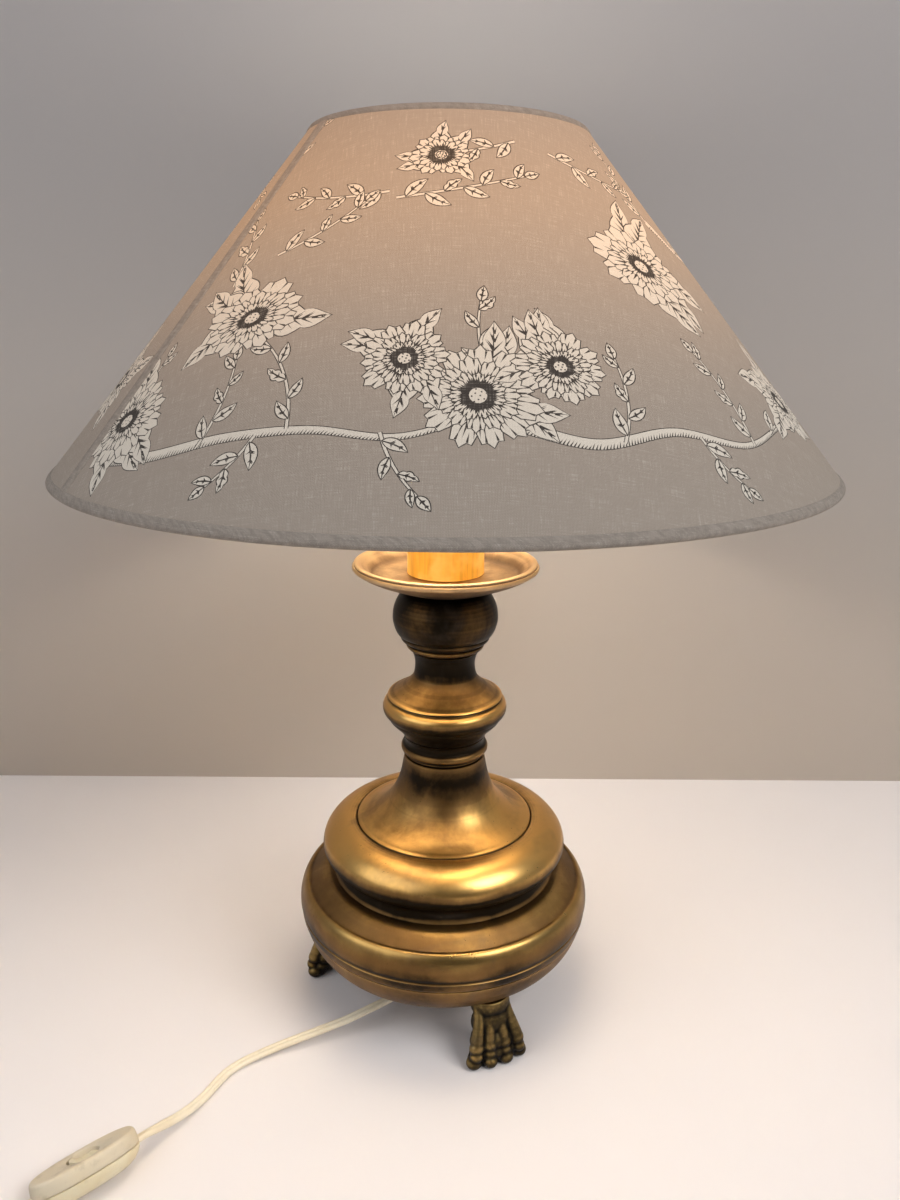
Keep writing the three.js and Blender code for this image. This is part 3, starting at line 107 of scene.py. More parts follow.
BELL = [
    (56, 127.4, "c"), (58.1, 128.2), (57.9, 129.3), (54.3, 130.4), (49.5, 132.3), (44.5, 135.2), (40, 138.8),
    (36.2, 143), (33, 148.5), (30.6, 154), (28.8, 160), (27.6, 166), (26.8, 170.4), (26.3, 173.4, "c"),
    (6, 173.4, "c"), (6, 171), (24, 170), (27, 158), (33, 144), (44, 132), (52, 127.4, "c"),
]
COLLAR = [
    (25.4, 174.1, "c"), (25.9, 174.9), (25.7, 175.7, "c"), (27, 176.4), (28.2, 177.6), (28.5, 179),
    (28.2, 180.4), (27, 181.7), (26.3, 182.2, "c"), (25.9, 184), (26.3, 186.2), (27, 187.8, "c"),
    (6, 187.8, "c"), (6, 174.1, "c"),
]
SAUCER = [
    (27.2, 188.5, "c"), (28.4, 190.6), (30.6, 193.4), (33.3, 196), (36.2, 199.2), (36.9, 201, "c"),
    (38.2, 202.2), (39.6, 204.2), (40.2, 206.8), (39.8, 209.6), (38.6, 211.8), (37.2, 212.9, "c"),
    (36.1, 213.4), (36.7, 214.2, "c"), (37.2, 215.2), (36.4, 216), (34.6, 216.7), (32.8, 217.6), (27.7, 221),
    (23.2, 224.8), (20.5, 228.4), (19.6, 231.8), (19.2, 235.2), (19.3, 238.6), (20.1, 242.2),
    (21.4, 245.6, "c"), (6, 245.6, "c"), (6, 243), (16, 242), (16, 230), (24, 219), (34, 208), (30, 197),
    (23, 190.4), (6, 190.4), (6, 188.5, "c"),
]
BALL = [
    (21.6, 246.5, "c"), (23.4, 247.2), (24.6, 248.4), (24.9, 249.6), (24, 250.7, "c"), (24.4, 251.6, "c"),
    (26.8, 252.4), (28.2, 253.7), (28.4, 255.2), (28.1, 256.2, "c"), (29.6, 256.6), (31.5, 259.4),
    (32.7, 263), (33.4, 266.6), (33.3, 270), (32.8, 273.6), (31.7, 277), (29.9, 280.6), (27.4, 283.8),
    (24.6, 285.4, "c"), (6, 285.4, "c"), (6, 283), (24, 281), (30, 272), (29.6, 263), (25, 256), (20, 249.4),
    (6, 249.4), (6, 246.5, "c"),
]
PAN = [
    (24, 286.1, "c"), (27, 286.3), (33, 288.2), (41, 291.2), (50, 295), (56.4, 298.6), (58.1, 299.9),
    (58.3, 301.1), (57.7, 301.9, "c"), (56.9, 302), (57.1, 302.6, "c"), (57, 303.6), (55.7, 304.1),
    (54, 303.5), (51.6, 301.6, "c"), (49.2, 300.1), (47, 297.8), (45.6, 296.3), (43.6, 295.7), (40, 295.6),
    (6, 295.6, "c"), (6, 293), (40, 292.4), (24, 288), (6, 288, "c"), (6, 286.1, "c"),
]
SLEEVE = [
    (22, 296.1, "c"), (23.7, 296.1), (24, 296.6), (23.9, 300), (24, 330), (23.8, 365), (23.9, 394),
    (23.6, 397.8), (23, 398, "c"), (21.6, 398, "c"), (21.6, 296.1, "c"),
]
SLEEVE_CAP = [
    (22.6, 398.3, "c"), (24.6, 398.3), (25, 398.8), (24.9, 399.5), (24.2, 399.8), (6, 399.8, "c"),
    (6, 395.4, "c"), (21.2, 395.4, "c"), (21.3, 398.3, "c"),
]
HOLDER_CUP = [
    (6, 400.2, "c"), (13, 400.2), (15.4, 401.6), (18.4, 405), (19.8, 409), (20, 412), (20, 419.2),
    (19.6, 420.1, "c"), (18.4, 420.1, "c"), (18.4, 411), (16.8, 406.4), (13, 402.4), (6, 401.8, "c"),
]
HOLDER_SKIRT = [
    (17.9, 420.4, "c"), (19.4, 420.4), (19.8, 421.2), (19.6, 423), (19.6, 438.6), (20.4, 440, "c"),
    (26.8, 440), (27.5, 441.2), (26.8, 442.4), (20.2, 442.4, "c"), (19.6, 443), (19.6, 444), (19.1, 444.7),
    (19.6, 445.4), (19.1, 446.3), (19.6, 447.2), (19.1, 448.1), (19.6, 449), (19.1, 449.9), (19.6, 450.8),
    (19.1, 451.7), (19.6, 452.8), (19.3, 454.3, "c"), (16.7, 454.3, "c"), (16.7, 452.8), (17.9, 452.6),
    (17.9, 430),
]
HOLDER_CORE = [
    (4.6, 413, "c"), (16.8, 413), (17.5, 413.8), (17.5, 427.4), (17, 428, "c"), (4.6, 428, "c"),
]
SCREW_SHELL = [
    (13.7, 428.3, "c"), (14.4, 428.3, "c"), (14.1, 430), (14.5, 431.8), (14.1, 433.6), (14.5, 435.4),
    (14.1, 437.2), (14.5, 439), (14.1, 440.8), (14.5, 442.6), (14.1, 444.4), (14.5, 446.2), (14.1, 448),
    (14.4, 450), (14.4, 452.3, "c"), (13.7, 452.3, "c"), (13.7, 440),
]
BULB_CAP = [
    (3, 431.6, "c"), (9, 431.6), (11.6, 433.6), (12.4, 434.8), (13.1, 436.4), (12.2, 438.2), (13.1, 440),
    (12.2, 441.8), (13.1, 443.6), (12.2, 445.4), (13.1, 447.2), (12.2, 449), (12.9, 450.4), (13.1, 454.6),
    (12.4, 455.4, "c"), (11.4, 455.4, "c"), (11.2, 440), (3, 433, "c"),
]
BULB = [
    (12.4, 455.8, "c"), (12.6, 457), (12.9, 461), (14.6, 467), (17.8, 473.4), (22.6, 482), (26.8, 490.6),
    (29.4, 498.4), (30, 505.8), (28.9, 514.2), (25.4, 522.6), (19.8, 529), (12.6, 533.6), (6, 535.4),
    (0.05, 535.7), (0.05, 534.6, "c"), (12, 532.4), (24, 521), (28.7, 506), (25.4, 490), (16, 472),
    (11.6, 461), (11.4, 455.8, "c"),
]

# The turned brass that keeps light off its own hollows; that shelter is painted into the brass as shade
SHELTERING = (BOWL, BASE_SHELL, CUSHION, BELL, COLLAR, SAUCER, BALL, PAN)

# The lead's route on the table in mm, as the frame has it
BUSH_MOUTH = (-16, -43, 27.7)
BUSH_HEADING = Vector((-0.83, -0.25, -0.5)).normalized()
RUN_POINTS = [
    (-27, -46, 21.6), (-38, -49.4, 16.6), (-50, -54, 13.2), (-63, -59.2, 10), (-77, -64.9, 7.9),
    (-91.5, -70.8, 6), (-104, -76.2, 4.4), (-115, -81.6, 3), (-124.5, -87.4, 2), (-132, -95, 1.8),
    (-137, -104, 1.8), (-141, -113, 1.9), (-146, -122, 2.6), (-152, -131.6, 4.6), (-158.8, -141, 7.6),
]
TAIL_POINTS = [(-217.5, -199.6, 8.6), (-226, -208, 5.9)]
SWITCH_SEAM, SWITCH_LEAN = -8.0, math.radians(-29)
SWITCH_PLACE = (
    Matrix.Translation((-191.7, -170, 18.2))
    @ Matrix.Rotation(math.radians(43), 4, "Z")
    @ Matrix.Rotation(SWITCH_LEAN, 4, "X")
)
COIL_CENTRE = (-226, -263.5)
COIL_RADIUS, COIL_PITCH, COIL_LAYER, COIL_START, COIL_TURNS, COIL_CLIMB = 36, 4.2, 6.9, 133, 6.38, 0.5
COIL_LOW = 4.25
FOOT_DIRECTIONS = {"foot_front": 21.8, "foot_left": -98.2, "foot_rear": 141.8}


def length_prop(name, description, default):
    return bpy.props.FloatProperty(name=name, description=description, default=default, unit="LENGTH")


def angle_prop(name, description, degrees):
    return bpy.props.FloatProperty(
        name=name, description=description, default=math.radians(degrees), subtype="ANGLE")


def power_prop(name, description, watts):
    return bpy.props.FloatProperty(name=name, description=description, default=watts, min=0, unit="POWER")


def colour_prop(name, description, *rgb):
    return bpy.props.FloatVectorProperty(
        name=name, description=description, subtype="COLOR", size=3, default=rgb)


class LampSizes(bpy.types.PropertyGroup):
    """Sizes of the visible pieces."""

    shade_bottom_radius: length_prop("Shade Bottom Radius", "Radius of the shade's lower rim", 0.2240)
    shade_bottom_height: length_prop("Shade Bottom Height", "Height of the lower rim above the table", 0.3640)
    shade_top_radius: length_prop("Shade Top Radius", "Radius of the shade's upper rim", 0.0746)
    shade_top_height: length_prop("Shade Top Height", "Height of the upper rim above the table", 0.5458)
    seam_direction: angle_prop(
        "Seam Direction", "Where the cover's glued seam lies, from the front towards the right", -55)
    cord_width: length_prop("Lead Width", "Width of the flat twin lead", 0.0062)
    cord_thickness: length_prop("Lead Thickness", "Thickness of the flat twin lead", 0.0034)
    cord_length: length_prop("Lead Length", "Length from the bush to the plug", 1.769)
    turned_sides: bpy.props.IntProperty(
        name="Turned Sides", description="Sides of the turned brass pieces", default=144, min=24, max=512)


class LampColours(bpy.types.PropertyGroup):
    """Colours of the finishes."""

    # Rubbed Brass also stands where faces turned up carry painted top light.
    brass_bright: colour_prop(
        "Rubbed Brass", "Brass where hands and dusters keep it bright", 0.72, 0.42, 0.125)
    brass_warm: colour_prop("Aged Brass", "Brass with its even brown patina", 0.190, 0.105, 0.036)
    brass_olive: colour_prop(
        "Olive Brass", "Duller, greener brass of the base and the ball", 0.46, 0.285, 0.090)
    # The tarnish colour also fills the painted shade where the turned brass keeps light off.
    brass_dark: colour_prop("Tarnish", "Black-brown tarnish in hollows", 0.015, 0.010, 0.005)
    pan_bronze: colour_prop("Drip Pan Bronze", "Paler, pinker alloy of the drip pan", 0.62, 0.43, 0.23)
    candle_amber: colour_prop("Candle Sleeve", "Amber card sleeve", 0.62, 0.27, 0.030)
    cloth_ground: colour_prop("Cloth Ground", "Grey-taupe ground of the shade's cloth", 0.30, 0.262, 0.225)
    cloth_cream: colour_prop("Cloth Cream", "Cream of the printed leaves and flowers", 0.60, 0.565, 0.50)
    cloth_ink: colour_prop("Cloth Ink", "Charcoal ink of the print", 0.026, 0.024, 0.024)
    lead_ivory: colour_prop("Ivory Lead", "Ivory plastic of the lead and plug", 0.84, 0.75, 0.57)
    switch_drab: colour_prop("Switch Top", "Grey-beige plastic of the switch's top shell", 0.62, 0.54, 0.40)
    switch_cream: colour_prop(
        "Switch Base", "Yellowed cream plastic of the switch's lower shell", 0.74, 0.66, 0.46)


class LampStudio(bpy.types.PropertyGroup):
    """Camera, table, wall and lamps."""

    camera_place: bpy.props.FloatVectorProperty(
        name="Camera Place", description="Where the photograph was taken from", subtype="TRANSLATION",
        unit="LENGTH", size=3, default=(0.0, -0.5640, 0.4452))
    camera_pitch: angle_prop("Camera Pitch", "Downward tilt of the camera", 16.5)
    camera_yaw: angle_prop("Camera Yaw", "Turn of the camera towards the right", 0.289)
    camera_roll: angle_prop("Camera Roll", "Roll of the camera, counter-clockwise", 0.5)
    camera_lens: bpy.props.FloatProperty(
        name="Camera Lens", description="Focal length in mm on a 36 mm sensor",
        default=27.98, min=10, max=200)
    wall_distance: length_prop("Wall Distance", "From the lamp's axis to the wall behind it", 0.298)
    key_power: power_prop("Window Light", "Power of the large soft light", 36.0)
    fill_power: power_prop("Fill Light", "Power of the fill light", 16.0)
    bulb_power: power_prop("Bulb Light", "Power of the light inside the shade", 2.3)


# ---------------------------------------------------------------- mesh helpers

def collection():
    return bpy.context.scene.collection


def add_piece(name, mesh, body, material, replaces=()):
    """Puts a mesh into the scene as a piece that rides on a body of the frame."""
    piece = bpy.data.objects.new(name, mesh)
    collection().objects.link(piece)
    if material is not None:
        mesh.materials.clear()
        mesh.materials.append(material)
    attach(piece, body)
    if replaces:
        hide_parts(*replaces)
    return piece


def shade_smooth(mesh, corner=35):
    mesh.polygons.foreach_set("use_smooth", [True] * len(mesh.polygons))
    mesh.set_sharp_from_angle(angle=math.radians(corner))


def mesh_of(name, points, faces, corner=35):
    """Mesh from points in mm."""
    mesh = bpy.data.meshes.new(name)
    mesh.from_pydata([tuple(float(v) * MM for v in p) for p in points], [], faces)
    shade_smooth(mesh, corner)
    return mesh


def read_all(items, key, wide=3, kind=float):
    """One value of all points, edges or corners of a mesh, a row for each."""
    values = np.empty(len(items) * wide, dtype=kind)
    items.foreach_get(key, values)
    return values.reshape(-1, wide)


def mark(mesh, name, values, domain="POINT"):
    """Attribute with one number for each point or face."""
    mesh.attributes.new(name, "FLOAT", domain).data.foreach_set("value", np.array(values, dtype=np.float32))


def lay_flat(mesh, places):
    """UV layer of the cloth's flat cut, from one place in metres for each point."""
    index = read_all(mesh.loops, "vertex_index", 1, np.int64).ravel()
    layer = mesh.uv_layers.new(name="flat")
    layer.data.foreach_set("uv", np.array(places, dtype=np.float32)[index].ravel())


def turn_out(mesh, corner=42):
    """Turns all faces outwards."""
    build = bmesh.new()
    build.from_mesh(mesh)
    bmesh.ops.recalc_face_normals(build, faces=build.faces)
    build.to_mesh(mesh)
    build.free()
    shade_smooth(mesh, corner)
    return mesh


def band_faces(rings, count, closed=False):
    """Faces between rings of points, each ring to the next, and the last to the first if closed."""
    faces = []
    for i in range(rings if closed else rings - 1):
        k = (i + 1) % rings
        for j in range(count):
            n = (j + 1) % count
            faces.append((i * count + j, i * count + n, k * count + n, k * count + j))
    return faces


def capped_faces(rings, count):
    """Faces between rings of points, with both ends closed."""
    last = (rings - 1) * count
    return band_faces(rings, count) + [tuple(reversed(range(count))), tuple(range(last, last + count))]


def circle(radius, count):
    """Points round a circle as (x, y)."""
    turns = [2 * math.pi * k / count for k in range(count)]
    return [(radius * math.cos(t), radius * math.sin(t)) for t in turns]


def unit(angle):
    return np.array([math.cos(angle), math.sin(angle)])


def spread(points, step):
    """Evenly spaced points along a line of points."""
    pts = np.array(points, float)
    run = np.concatenate([[0], np.cumsum(np.linalg.norm(np.diff(pts, axis=0), axis=1))])
    count = max(int(math.ceil(run[-1] / step)), 1)
    at = np.linspace(0, run[-1], count + 1)
    return np.stack([np.interp(at, run, pts[:, k]) for k in range(pts.shape[1])], axis=1)


def smooth_through(points, step):
    """Centripetal Catmull-Rom curve through points, evenly spaced."""
    pts = [np.array(p, float) for p in points]
    if len(pts) == 2:
        return spread(pts, step)
    ends = [2 * pts[0] - pts[1]] + pts + [2 * pts[-1] - pts[-2]]
    fine = []
    for a, b, c, d in zip(ends, ends[1:], ends[2:], ends[3:]):
        knots = [0.0]
        for p, q in ((a, b), (b, c), (c, d)):
            knots.append(knots[-1] + max(np.linalg.norm(q - p), 1e-6) ** 0.5)
        t0, t1, t2, t3 = knots
        for t in np.linspace(t1, t2, 13)[:-1]:
            ab = (t1 - t) / (t1 - t0) * a + (t - t0) / (t1 - t0) * b
            bc = (t2 - t) / (t2 - t1) * b + (t - t1) / (t2 - t1) * c
            cd = (t3 - t) / (t3 - t2) * c + (t - t2) / (t3 - t2) * d
            abc = (t2 - t) / (t2 - t0) * ab + (t - t0) / (t2 - t0) * bc
            bcd = (t3 - t) / (t3 - t1) * bc + (t - t1) / (t3 - t1) * cd
            fine.append((t2 - t) / (t2 - t1) * abc + (t - t1) / (t2 - t1) * bcd)
    fine.append(pts[-1])
    return spread(fine, step)


def outline_of(profile, step):
    """Closed outline with smooth stretches between its corners."""
    first = next(i for i, p in enumerate(profile) if len(p) == 3)
    ring = profile[first:] + profile[:first] + [profile[first]]
    line, stretch = [], [ring[0][:2]]
    for point in ring[1:]:
        stretch.append(point[:2])
        if len(point) == 3:
            line.extend(smooth_through(stretch, step)[:-1])
            stretch = [point[:2]]
    return np.array(line)


def outward(line):
    """Normals of a closed outline."""
    ahead = np.roll(line, -1, axis=0) - np.roll(line, 1, axis=0)
    normal = np.stack([ahead[:, 1], -ahead[:, 0]], axis=1)
    return normal / np.maximum(np.linalg.norm(normal, axis=1, keepdims=True), 1e-6)


def hollowness(line):
    """How deep each point of a closed outline lies between its neighbours: 0.5 flat, 1 in a groove."""
    total, normal = np.zeros(len(line)), outward(line)
    closed = np.concatenate([line, line[:1]])
    lengths = np.linalg.norm(np.diff(closed, axis=0), axis=1)
    run = np.concatenate([[0], np.cumsum(lengths)])
    for reach, weight in ((1.6, 0.34), (3.6, 0.36), (8.0, 0.42)):
        for sign in (1, -1):
            at = (run[:-1] + sign * reach) % run[-1]
            near = np.stack([np.interp(at, run, closed[:, k]) for k in (0, 1)], axis=1)
            total += weight * ((near - line) * normal).sum(axis=1) / reach
    return np.clip(0.5 + 0.5 * total, 0, 1)


def shelter(line, reach=45.0, rays=14):
    """How much of the light round each point of an outline the turned brass keeps off: 0 none, 1 all."""
    walls = [(a[:2], b[:2]) for piece in SHELTERING for a, b in zip(piece, piece[1:] + piece[:1])]
    start = np.array([a for a, _ in walls], float)
    along = np.array([b for _, b in walls], float) - start
    normal = outward(line)
    turns = np.linspace(-1.35, 1.35, rays)
    kept_off = np.zeros(len(line))
    for turn in turns:
        c, s = math.cos(turn), math.sin(turn)
        ray = np.stack([normal[:, 0] * c - normal[:, 1] * s, normal[:, 0] * s + normal[:, 1] * c], axis=1)
        gap = start[None] - (line + normal * 0.8)[:, None]
        across = ray[:, None, 0] * along[None, :, 1] - ray[:, None, 1] * along[None, :, 0]
        across = np.where(np.abs(across) < 1e-9, 1e-9, across)
        far = (gap[:, :, 0] * along[None, :, 1] - gap[:, :, 1] * along[None, :, 0]) / across
        share = (gap[:, :, 0] * ray[:, None, 1] - gap[:, :, 1] * ray[:, None, 0]) / across
        hit = (far > 0) & (far < reach) & (share >= 0) & (share <= 1)
        kept_off += c * hit.any(axis=1)
    return kept_off / np.cos(turns).sum()


def turned_mesh(name, profile, sides=None, step=0.9, corner=40, grime=0.9):
    """Mesh of a turned piece; a point attribute holds its hollowness plus painted shade where it is sheltered
    from light.
    """
    sides = sides or bpy.context.scene.lamp_sizes.turned_sides
    line = outline_of(profile, step)
    # Hollowness is patina in the grooves; the shelter term adds painted shade where the turned brass keeps
    # light off.
    hollow = np.clip(hollowness(line) + grime * shelter(line), 0, 1)
    angles = np.linspace(0, 2 * math.pi, sides, endpoint=False)
    points = [(r * math.cos(a), r * math.sin(a), z) for r, z in line for a in angles]
    mesh = mesh_of(name, points, band_faces(len(line), sides, closed=True), corner)
    mark(mesh, "hollow", np.repeat(hollow, sides))
    return mesh


def swept_mesh(name, path, section, sides_of, corner=40):
    """Mesh of a section swept along a path; sides_of(i) gives the section's two axes at a point."""
    points = []
    for i, centre in enumerate(path):
        across, up = sides_of(i)
        points += [np.array(centre) + np.array(across) * x + np.array(up) * y for x, y in section]
    return mesh_of(name, points, capped_faces(len(path), len(section)), corner)


def directions(path):
    path = np.array(path, float)
    ways = np.gradient(path, axis=0)
    return ways / np.maximum(np.linalg.norm(ways, axis=1, keepdims=True), 1e-9)


def rod_mesh(name, path, radii, sides=16):
    """Mesh of a round rod along a path, with one radius or one for each point."""
    ways = directions(path)
    radii = np.broadcast_to(np.array(radii, float), (len(path),))
    axis = Vector((0, 0, 1)) if abs(ways[0][2]) < 0.9 else Vector((1, 0, 0))
    frames = []
    for way in ways:
        way = Vector(way)
        across = (axis - way * axis.dot(way)).normalized()
        frames.append((across, way.cross(across)))
        axis = across
    points = []
    for centre, radius, (across, up) in zip(path, radii, frames):
        for k in range(sides):
            turn = 2 * math.pi * k / sides
            points.append(Vector(centre) + across * radius * math.cos(turn) + up * radius * math.sin(turn))
    return mesh_of(name, points, capped_faces(len(path), sides), 40)


def merged(name, meshes):
    """One mesh from several."""
    build = bmesh.new()
    for mesh in meshes:
        build.from_mesh(mesh)
    whole = bpy.data.meshes.new(name)
    build.to_mesh(whole)
    build.free()
    for mesh in meshes:
        bpy.data.meshes.remove(mesh)
    return whole


def moved(mesh, matrix):
    """Moves a mesh by a matrix in mm."""
    scaled = matrix.copy()
    scaled.translation = scaled.translation * MM
    mesh.transform(scaled)
    return mesh


def applied(piece):
    """Applies a piece's modifiers to its mesh."""
    bpy.context.view_layer.update()
    graph = bpy.context.evaluated_depsgraph_get()
    result = bpy.data.meshes.new_from_object(piece.evaluated_get(graph))
    old = piece.data
    piece.modifiers.clear()
    piece.data = result
    bpy.data.meshes.remove(old)


def mark_hollows(mesh, rounds=8, gain=1.0):
    """Point attribute "hollow" of a free-form mesh: how deep points lie below their surroundings."""
    points, normals = read_all(mesh.vertices, "co"), read_all(mesh.vertices, "normal")
    edges = read_all(mesh.edges, "vertices", 2, np.int64)
    smooth = points.copy()
    uses = np.bincount(edges.ravel(), minlength=len(points))[:, None]
    total = np.zeros(len(points))
    for turn in range(1, rounds + 1):
        near = np.zeros_like(smooth)
        np.add.at(near, edges[:, 0], smooth[edges[:, 1]])
        np.add.at(near, edges[:, 1], smooth[edges[:, 0]])
        smooth = 0.5 * smooth + 0.5 * near / np.maximum(uses, 1)
        if turn in (rounds // 3, rounds):
            total += ((smooth - points) * normals).sum(axis=1)
    mark(mesh, "hollow", np.clip(0.5 + gain * total / MM, 0, 1))


# ---------------------------------------------------------------- material helpers

def node_at(tree, kind, **settings):
    node = tree.nodes.new(kind)
    for key, value in settings.items():
        setattr(node, key, value)
    return node


def feed(tree, socket, value):
    """Links a socket or sets a plain value."""
    if isinstance(value, bpy.types.NodeSocket):
        tree.links.new(value, socket)
    elif hasattr(value, "__len__") and socket.type == "RGBA" and len(value) == 3:
        socket.default_value = (*value, 1)
    else:
        socket.default_value = value


def dress(tree, node, **values):
    """Feeds a node's inputs, their names written with _ for a space."""
    for name, value in values.items():
        feed(tree, node.inputs[name.replace("_", " ")], value)


def object_place(tree):
    return node_at(tree, "ShaderNodeTexCoord").outputs["Object"]


def axis_of(tree, vector, axis):
    split = node_at(tree, "ShaderNodeSeparateXYZ")
    feed(tree, split.inputs[0], vector)
    return split.outputs[axis]


def noise(tree, where, scale, detail=3.0, roughness=0.55, distortion=0.0):
    node = node_at(tree, "ShaderNodeTexNoise")
    feed(tree, node.inputs["Vector"], where)
    feed(tree, node.inputs["Scale"], scale)
    node.inputs["Detail"].default_value = detail
    node.inputs["Roughness"].default_value = roughness
    node.inputs["Distortion"].default_value = distortion
    return node.outputs["Fac"]


def ramp(tree, value, low, high, to_low=0.0, to_high=1.0, smooth=True):
    node = node_at(tree, "ShaderNodeMapRange", interpolation_type="SMOOTHSTEP" if smooth else "LINEAR")
    feed(tree, node.inputs["Value"], value)
    for name, number in (("From Min", low), ("From Max", high), ("To Min", to_low), ("To Max", to_high)):
        feed(tree, node.inputs[name], number)
    return node.outputs["Result"]


def maths(tree, operation, a, b=0.0, c=0.0, clamp=False):
    node = node_at(tree, "ShaderNodeMath", operation=operation, use_clamp=clamp)
    for socket, value in zip(node.inputs, (a, b, c)):
        feed(tree, socket, value)
    return node.outputs["Value"]


def swayed(tree, base, value, gain):
    """Base plus the value's swing about one half."""
    return maths(tree, "MULTIPLY_ADD", maths(tree, "SUBTRACT", value, 0.5), gain, base)


def blend_colours(tree, share, a, b, blend="MIX"):
    node = node_at(tree, "ShaderNodeMix", data_type="RGBA", blend_type=blend)
    feed(tree, node.inputs["Factor"], share)
    feed(tree, node.inputs["A"], a)
    feed(tree, node.inputs["B"], b)
    return node.outputs["Result"]


def stretched(tree, where, scale):
    node = node_at(tree, "ShaderNodeMapping")
    feed(tree, node.inputs["Vector"], where)
    node.inputs["Scale"].default_value = scale
    return node.outputs["Vector"]


def new_group(name, inputs, outputs):
    """Shader node group with named inputs (name, kind, default) and outputs (name, kind)."""
    tree = bpy.data.node_groups.new(name, "ShaderNodeTree")
    for title, kind, default in inputs:
        socket = tree.interface.new_socket(name=title, in_out="INPUT", socket_type=kind)
        socket.default_value = (*default, 1) if kind == "NodeSocketColor" else default
    for title, kind in outputs:
        tree.interface.new_socket(name=title, in_out="OUTPUT", socket_type=kind)
    return tree, tree.nodes.new("NodeGroupInput"), tree.nodes.new("NodeGroupOutput")


FLOAT, COLOUR = "NodeSocketFloat", "NodeSocketColor"


def brass_patina_group():
    """Aged metal: bright crests, brown between, black hollows, with blotches, turning lines and pits; painted
    shade where sheltered from light, and painted top light.
    """
    if "Brass Patina" in bpy.data.node_groups:
        return bpy.data.node_groups["Brass Patina"]
    tree, given, out = new_group("Brass Patina", [
        ("Hollow", FLOAT, 0.5), ("Bright", COLOUR, (0.6, 0.34, 0.09)), ("Warm", COLOUR, (0.25, 0.13, 0.04)),
        ("Dark", COLOUR, (0.02, 0.013, 0.008)), ("Tarnish", FLOAT, 0.5), ("Underside", FLOAT, 0.42),
        ("Scale", FLOAT, 1.0), ("Turning Lines", FLOAT, 1.0), ("Roughness", FLOAT, 0.34),
    ], [("Colour", COLOUR), ("Roughness", FLOAT), ("Metallic", FLOAT), ("Height", FLOAT)])
    sized = node_at(tree, "ShaderNodeVectorMath", operation="SCALE")
    feed(tree, sized.inputs[0], object_place(tree))
    feed(tree, sized.inputs["Scale"], given.outputs["Scale"])
    where = sized.outputs["Vector"]
    blotch = noise(tree, stretched(tree, where, (1, 1, 0.72)), 26, 5, 0.62, 0.4)
    cloud = noise(tree, where, 9, 3, 0.5, 0.6)
    mottle = noise(tree, where, 230, 4, 0.6)
    lines = noise(tree, stretched(tree, where, (0.02, 0.02, 1)), 2600, 2, 0.5)
    pits = node_at(tree, "ShaderNodeTexVoronoi")
    feed(tree, pits.inputs["Vector"], where)
    pits.inputs["Scale"].default_value = 420
    pit = ramp(tree, pits.outputs["Distance"], 0.05, 0.16, 1, 0)
    pit = maths(tree, "MULTIPLY", pit, ramp(tree, noise(tree, where, 60, 2), 0.56, 0.66))
    # Painted top light: faces turned up are painted lighter, faces turned down darker.
    facing = axis_of(tree, node_at(tree, "ShaderNodeNewGeometry").outputs["Normal"], "Z")
    upward = ramp(tree, facing, -0.35, 0.62, -0.4, 0.6)
    # Brightness score from patina, rubbing, painted shade and painted top light.
    wear_and_light = maths(tree, "SUBTRACT", 1.2, given.outputs["Hollow"])
    wear_and_light = maths(tree, "MULTIPLY_ADD", upward, given.outputs["Underside"], wear_and_light)
    for patches, gain in ((blotch, 0.85), (cloud, 0.9), (mottle, 0.16)):
        wear_and_light = swayed(tree, wear_and_light, patches, gain)
    wear_and_light = maths(tree, "SUBTRACT", wear_and_light, maths(tree, "MULTIPLY", given.outputs["Tarnish"], 0.5))
    first = ramp(tree, wear_and_light, -0.02, 0.42)
    second = ramp(tree, wear_and_light, 0.36, 0.92)
    colour = blend_colours(tree, first, given.outputs["Dark"], given.outputs["Warm"])
    colour = blend_colours(tree, second, colour, given.outputs["Bright"])
    grey = ramp(tree, noise(tree, where, 17, 4, 0.6, 0.8), 0.56, 0.72)
    grey = maths(tree, "MULTIPLY", grey, 0.35)
    colour = blend_colours(tree, grey, colour, (0.085, 0.068, 0.056))
    colour = blend_colours(tree, pit, colour, (0.016, 0.012, 0.009))
    unrubbed = maths(tree, "SUBTRACT", 1.0, second)
    rough = maths(tree, "MULTIPLY_ADD", unrubbed, 0.16, given.outputs["Roughness"])
    rough = swayed(tree, rough, mottle, 0.08)
    rough = maths(tree, "MULTIPLY_ADD", pit, 0.3, rough, clamp=True)
    metal = maths(tree, "MULTIPLY_ADD", first, 0.04, 0.95)
    height = maths(tree, "MULTIPLY", maths(tree, "SUBTRACT", lines, 0.5), given.outputs["Turning Lines"])
    height = maths(tree, "MULTIPLY_ADD", mottle, 0.2, height)
    height = maths(tree, "MULTIPLY_ADD", pit, -1.6, height)
    dress(tree, out, Colour=colour, Roughness=rough, Metallic=metal, Height=height)
    return tree


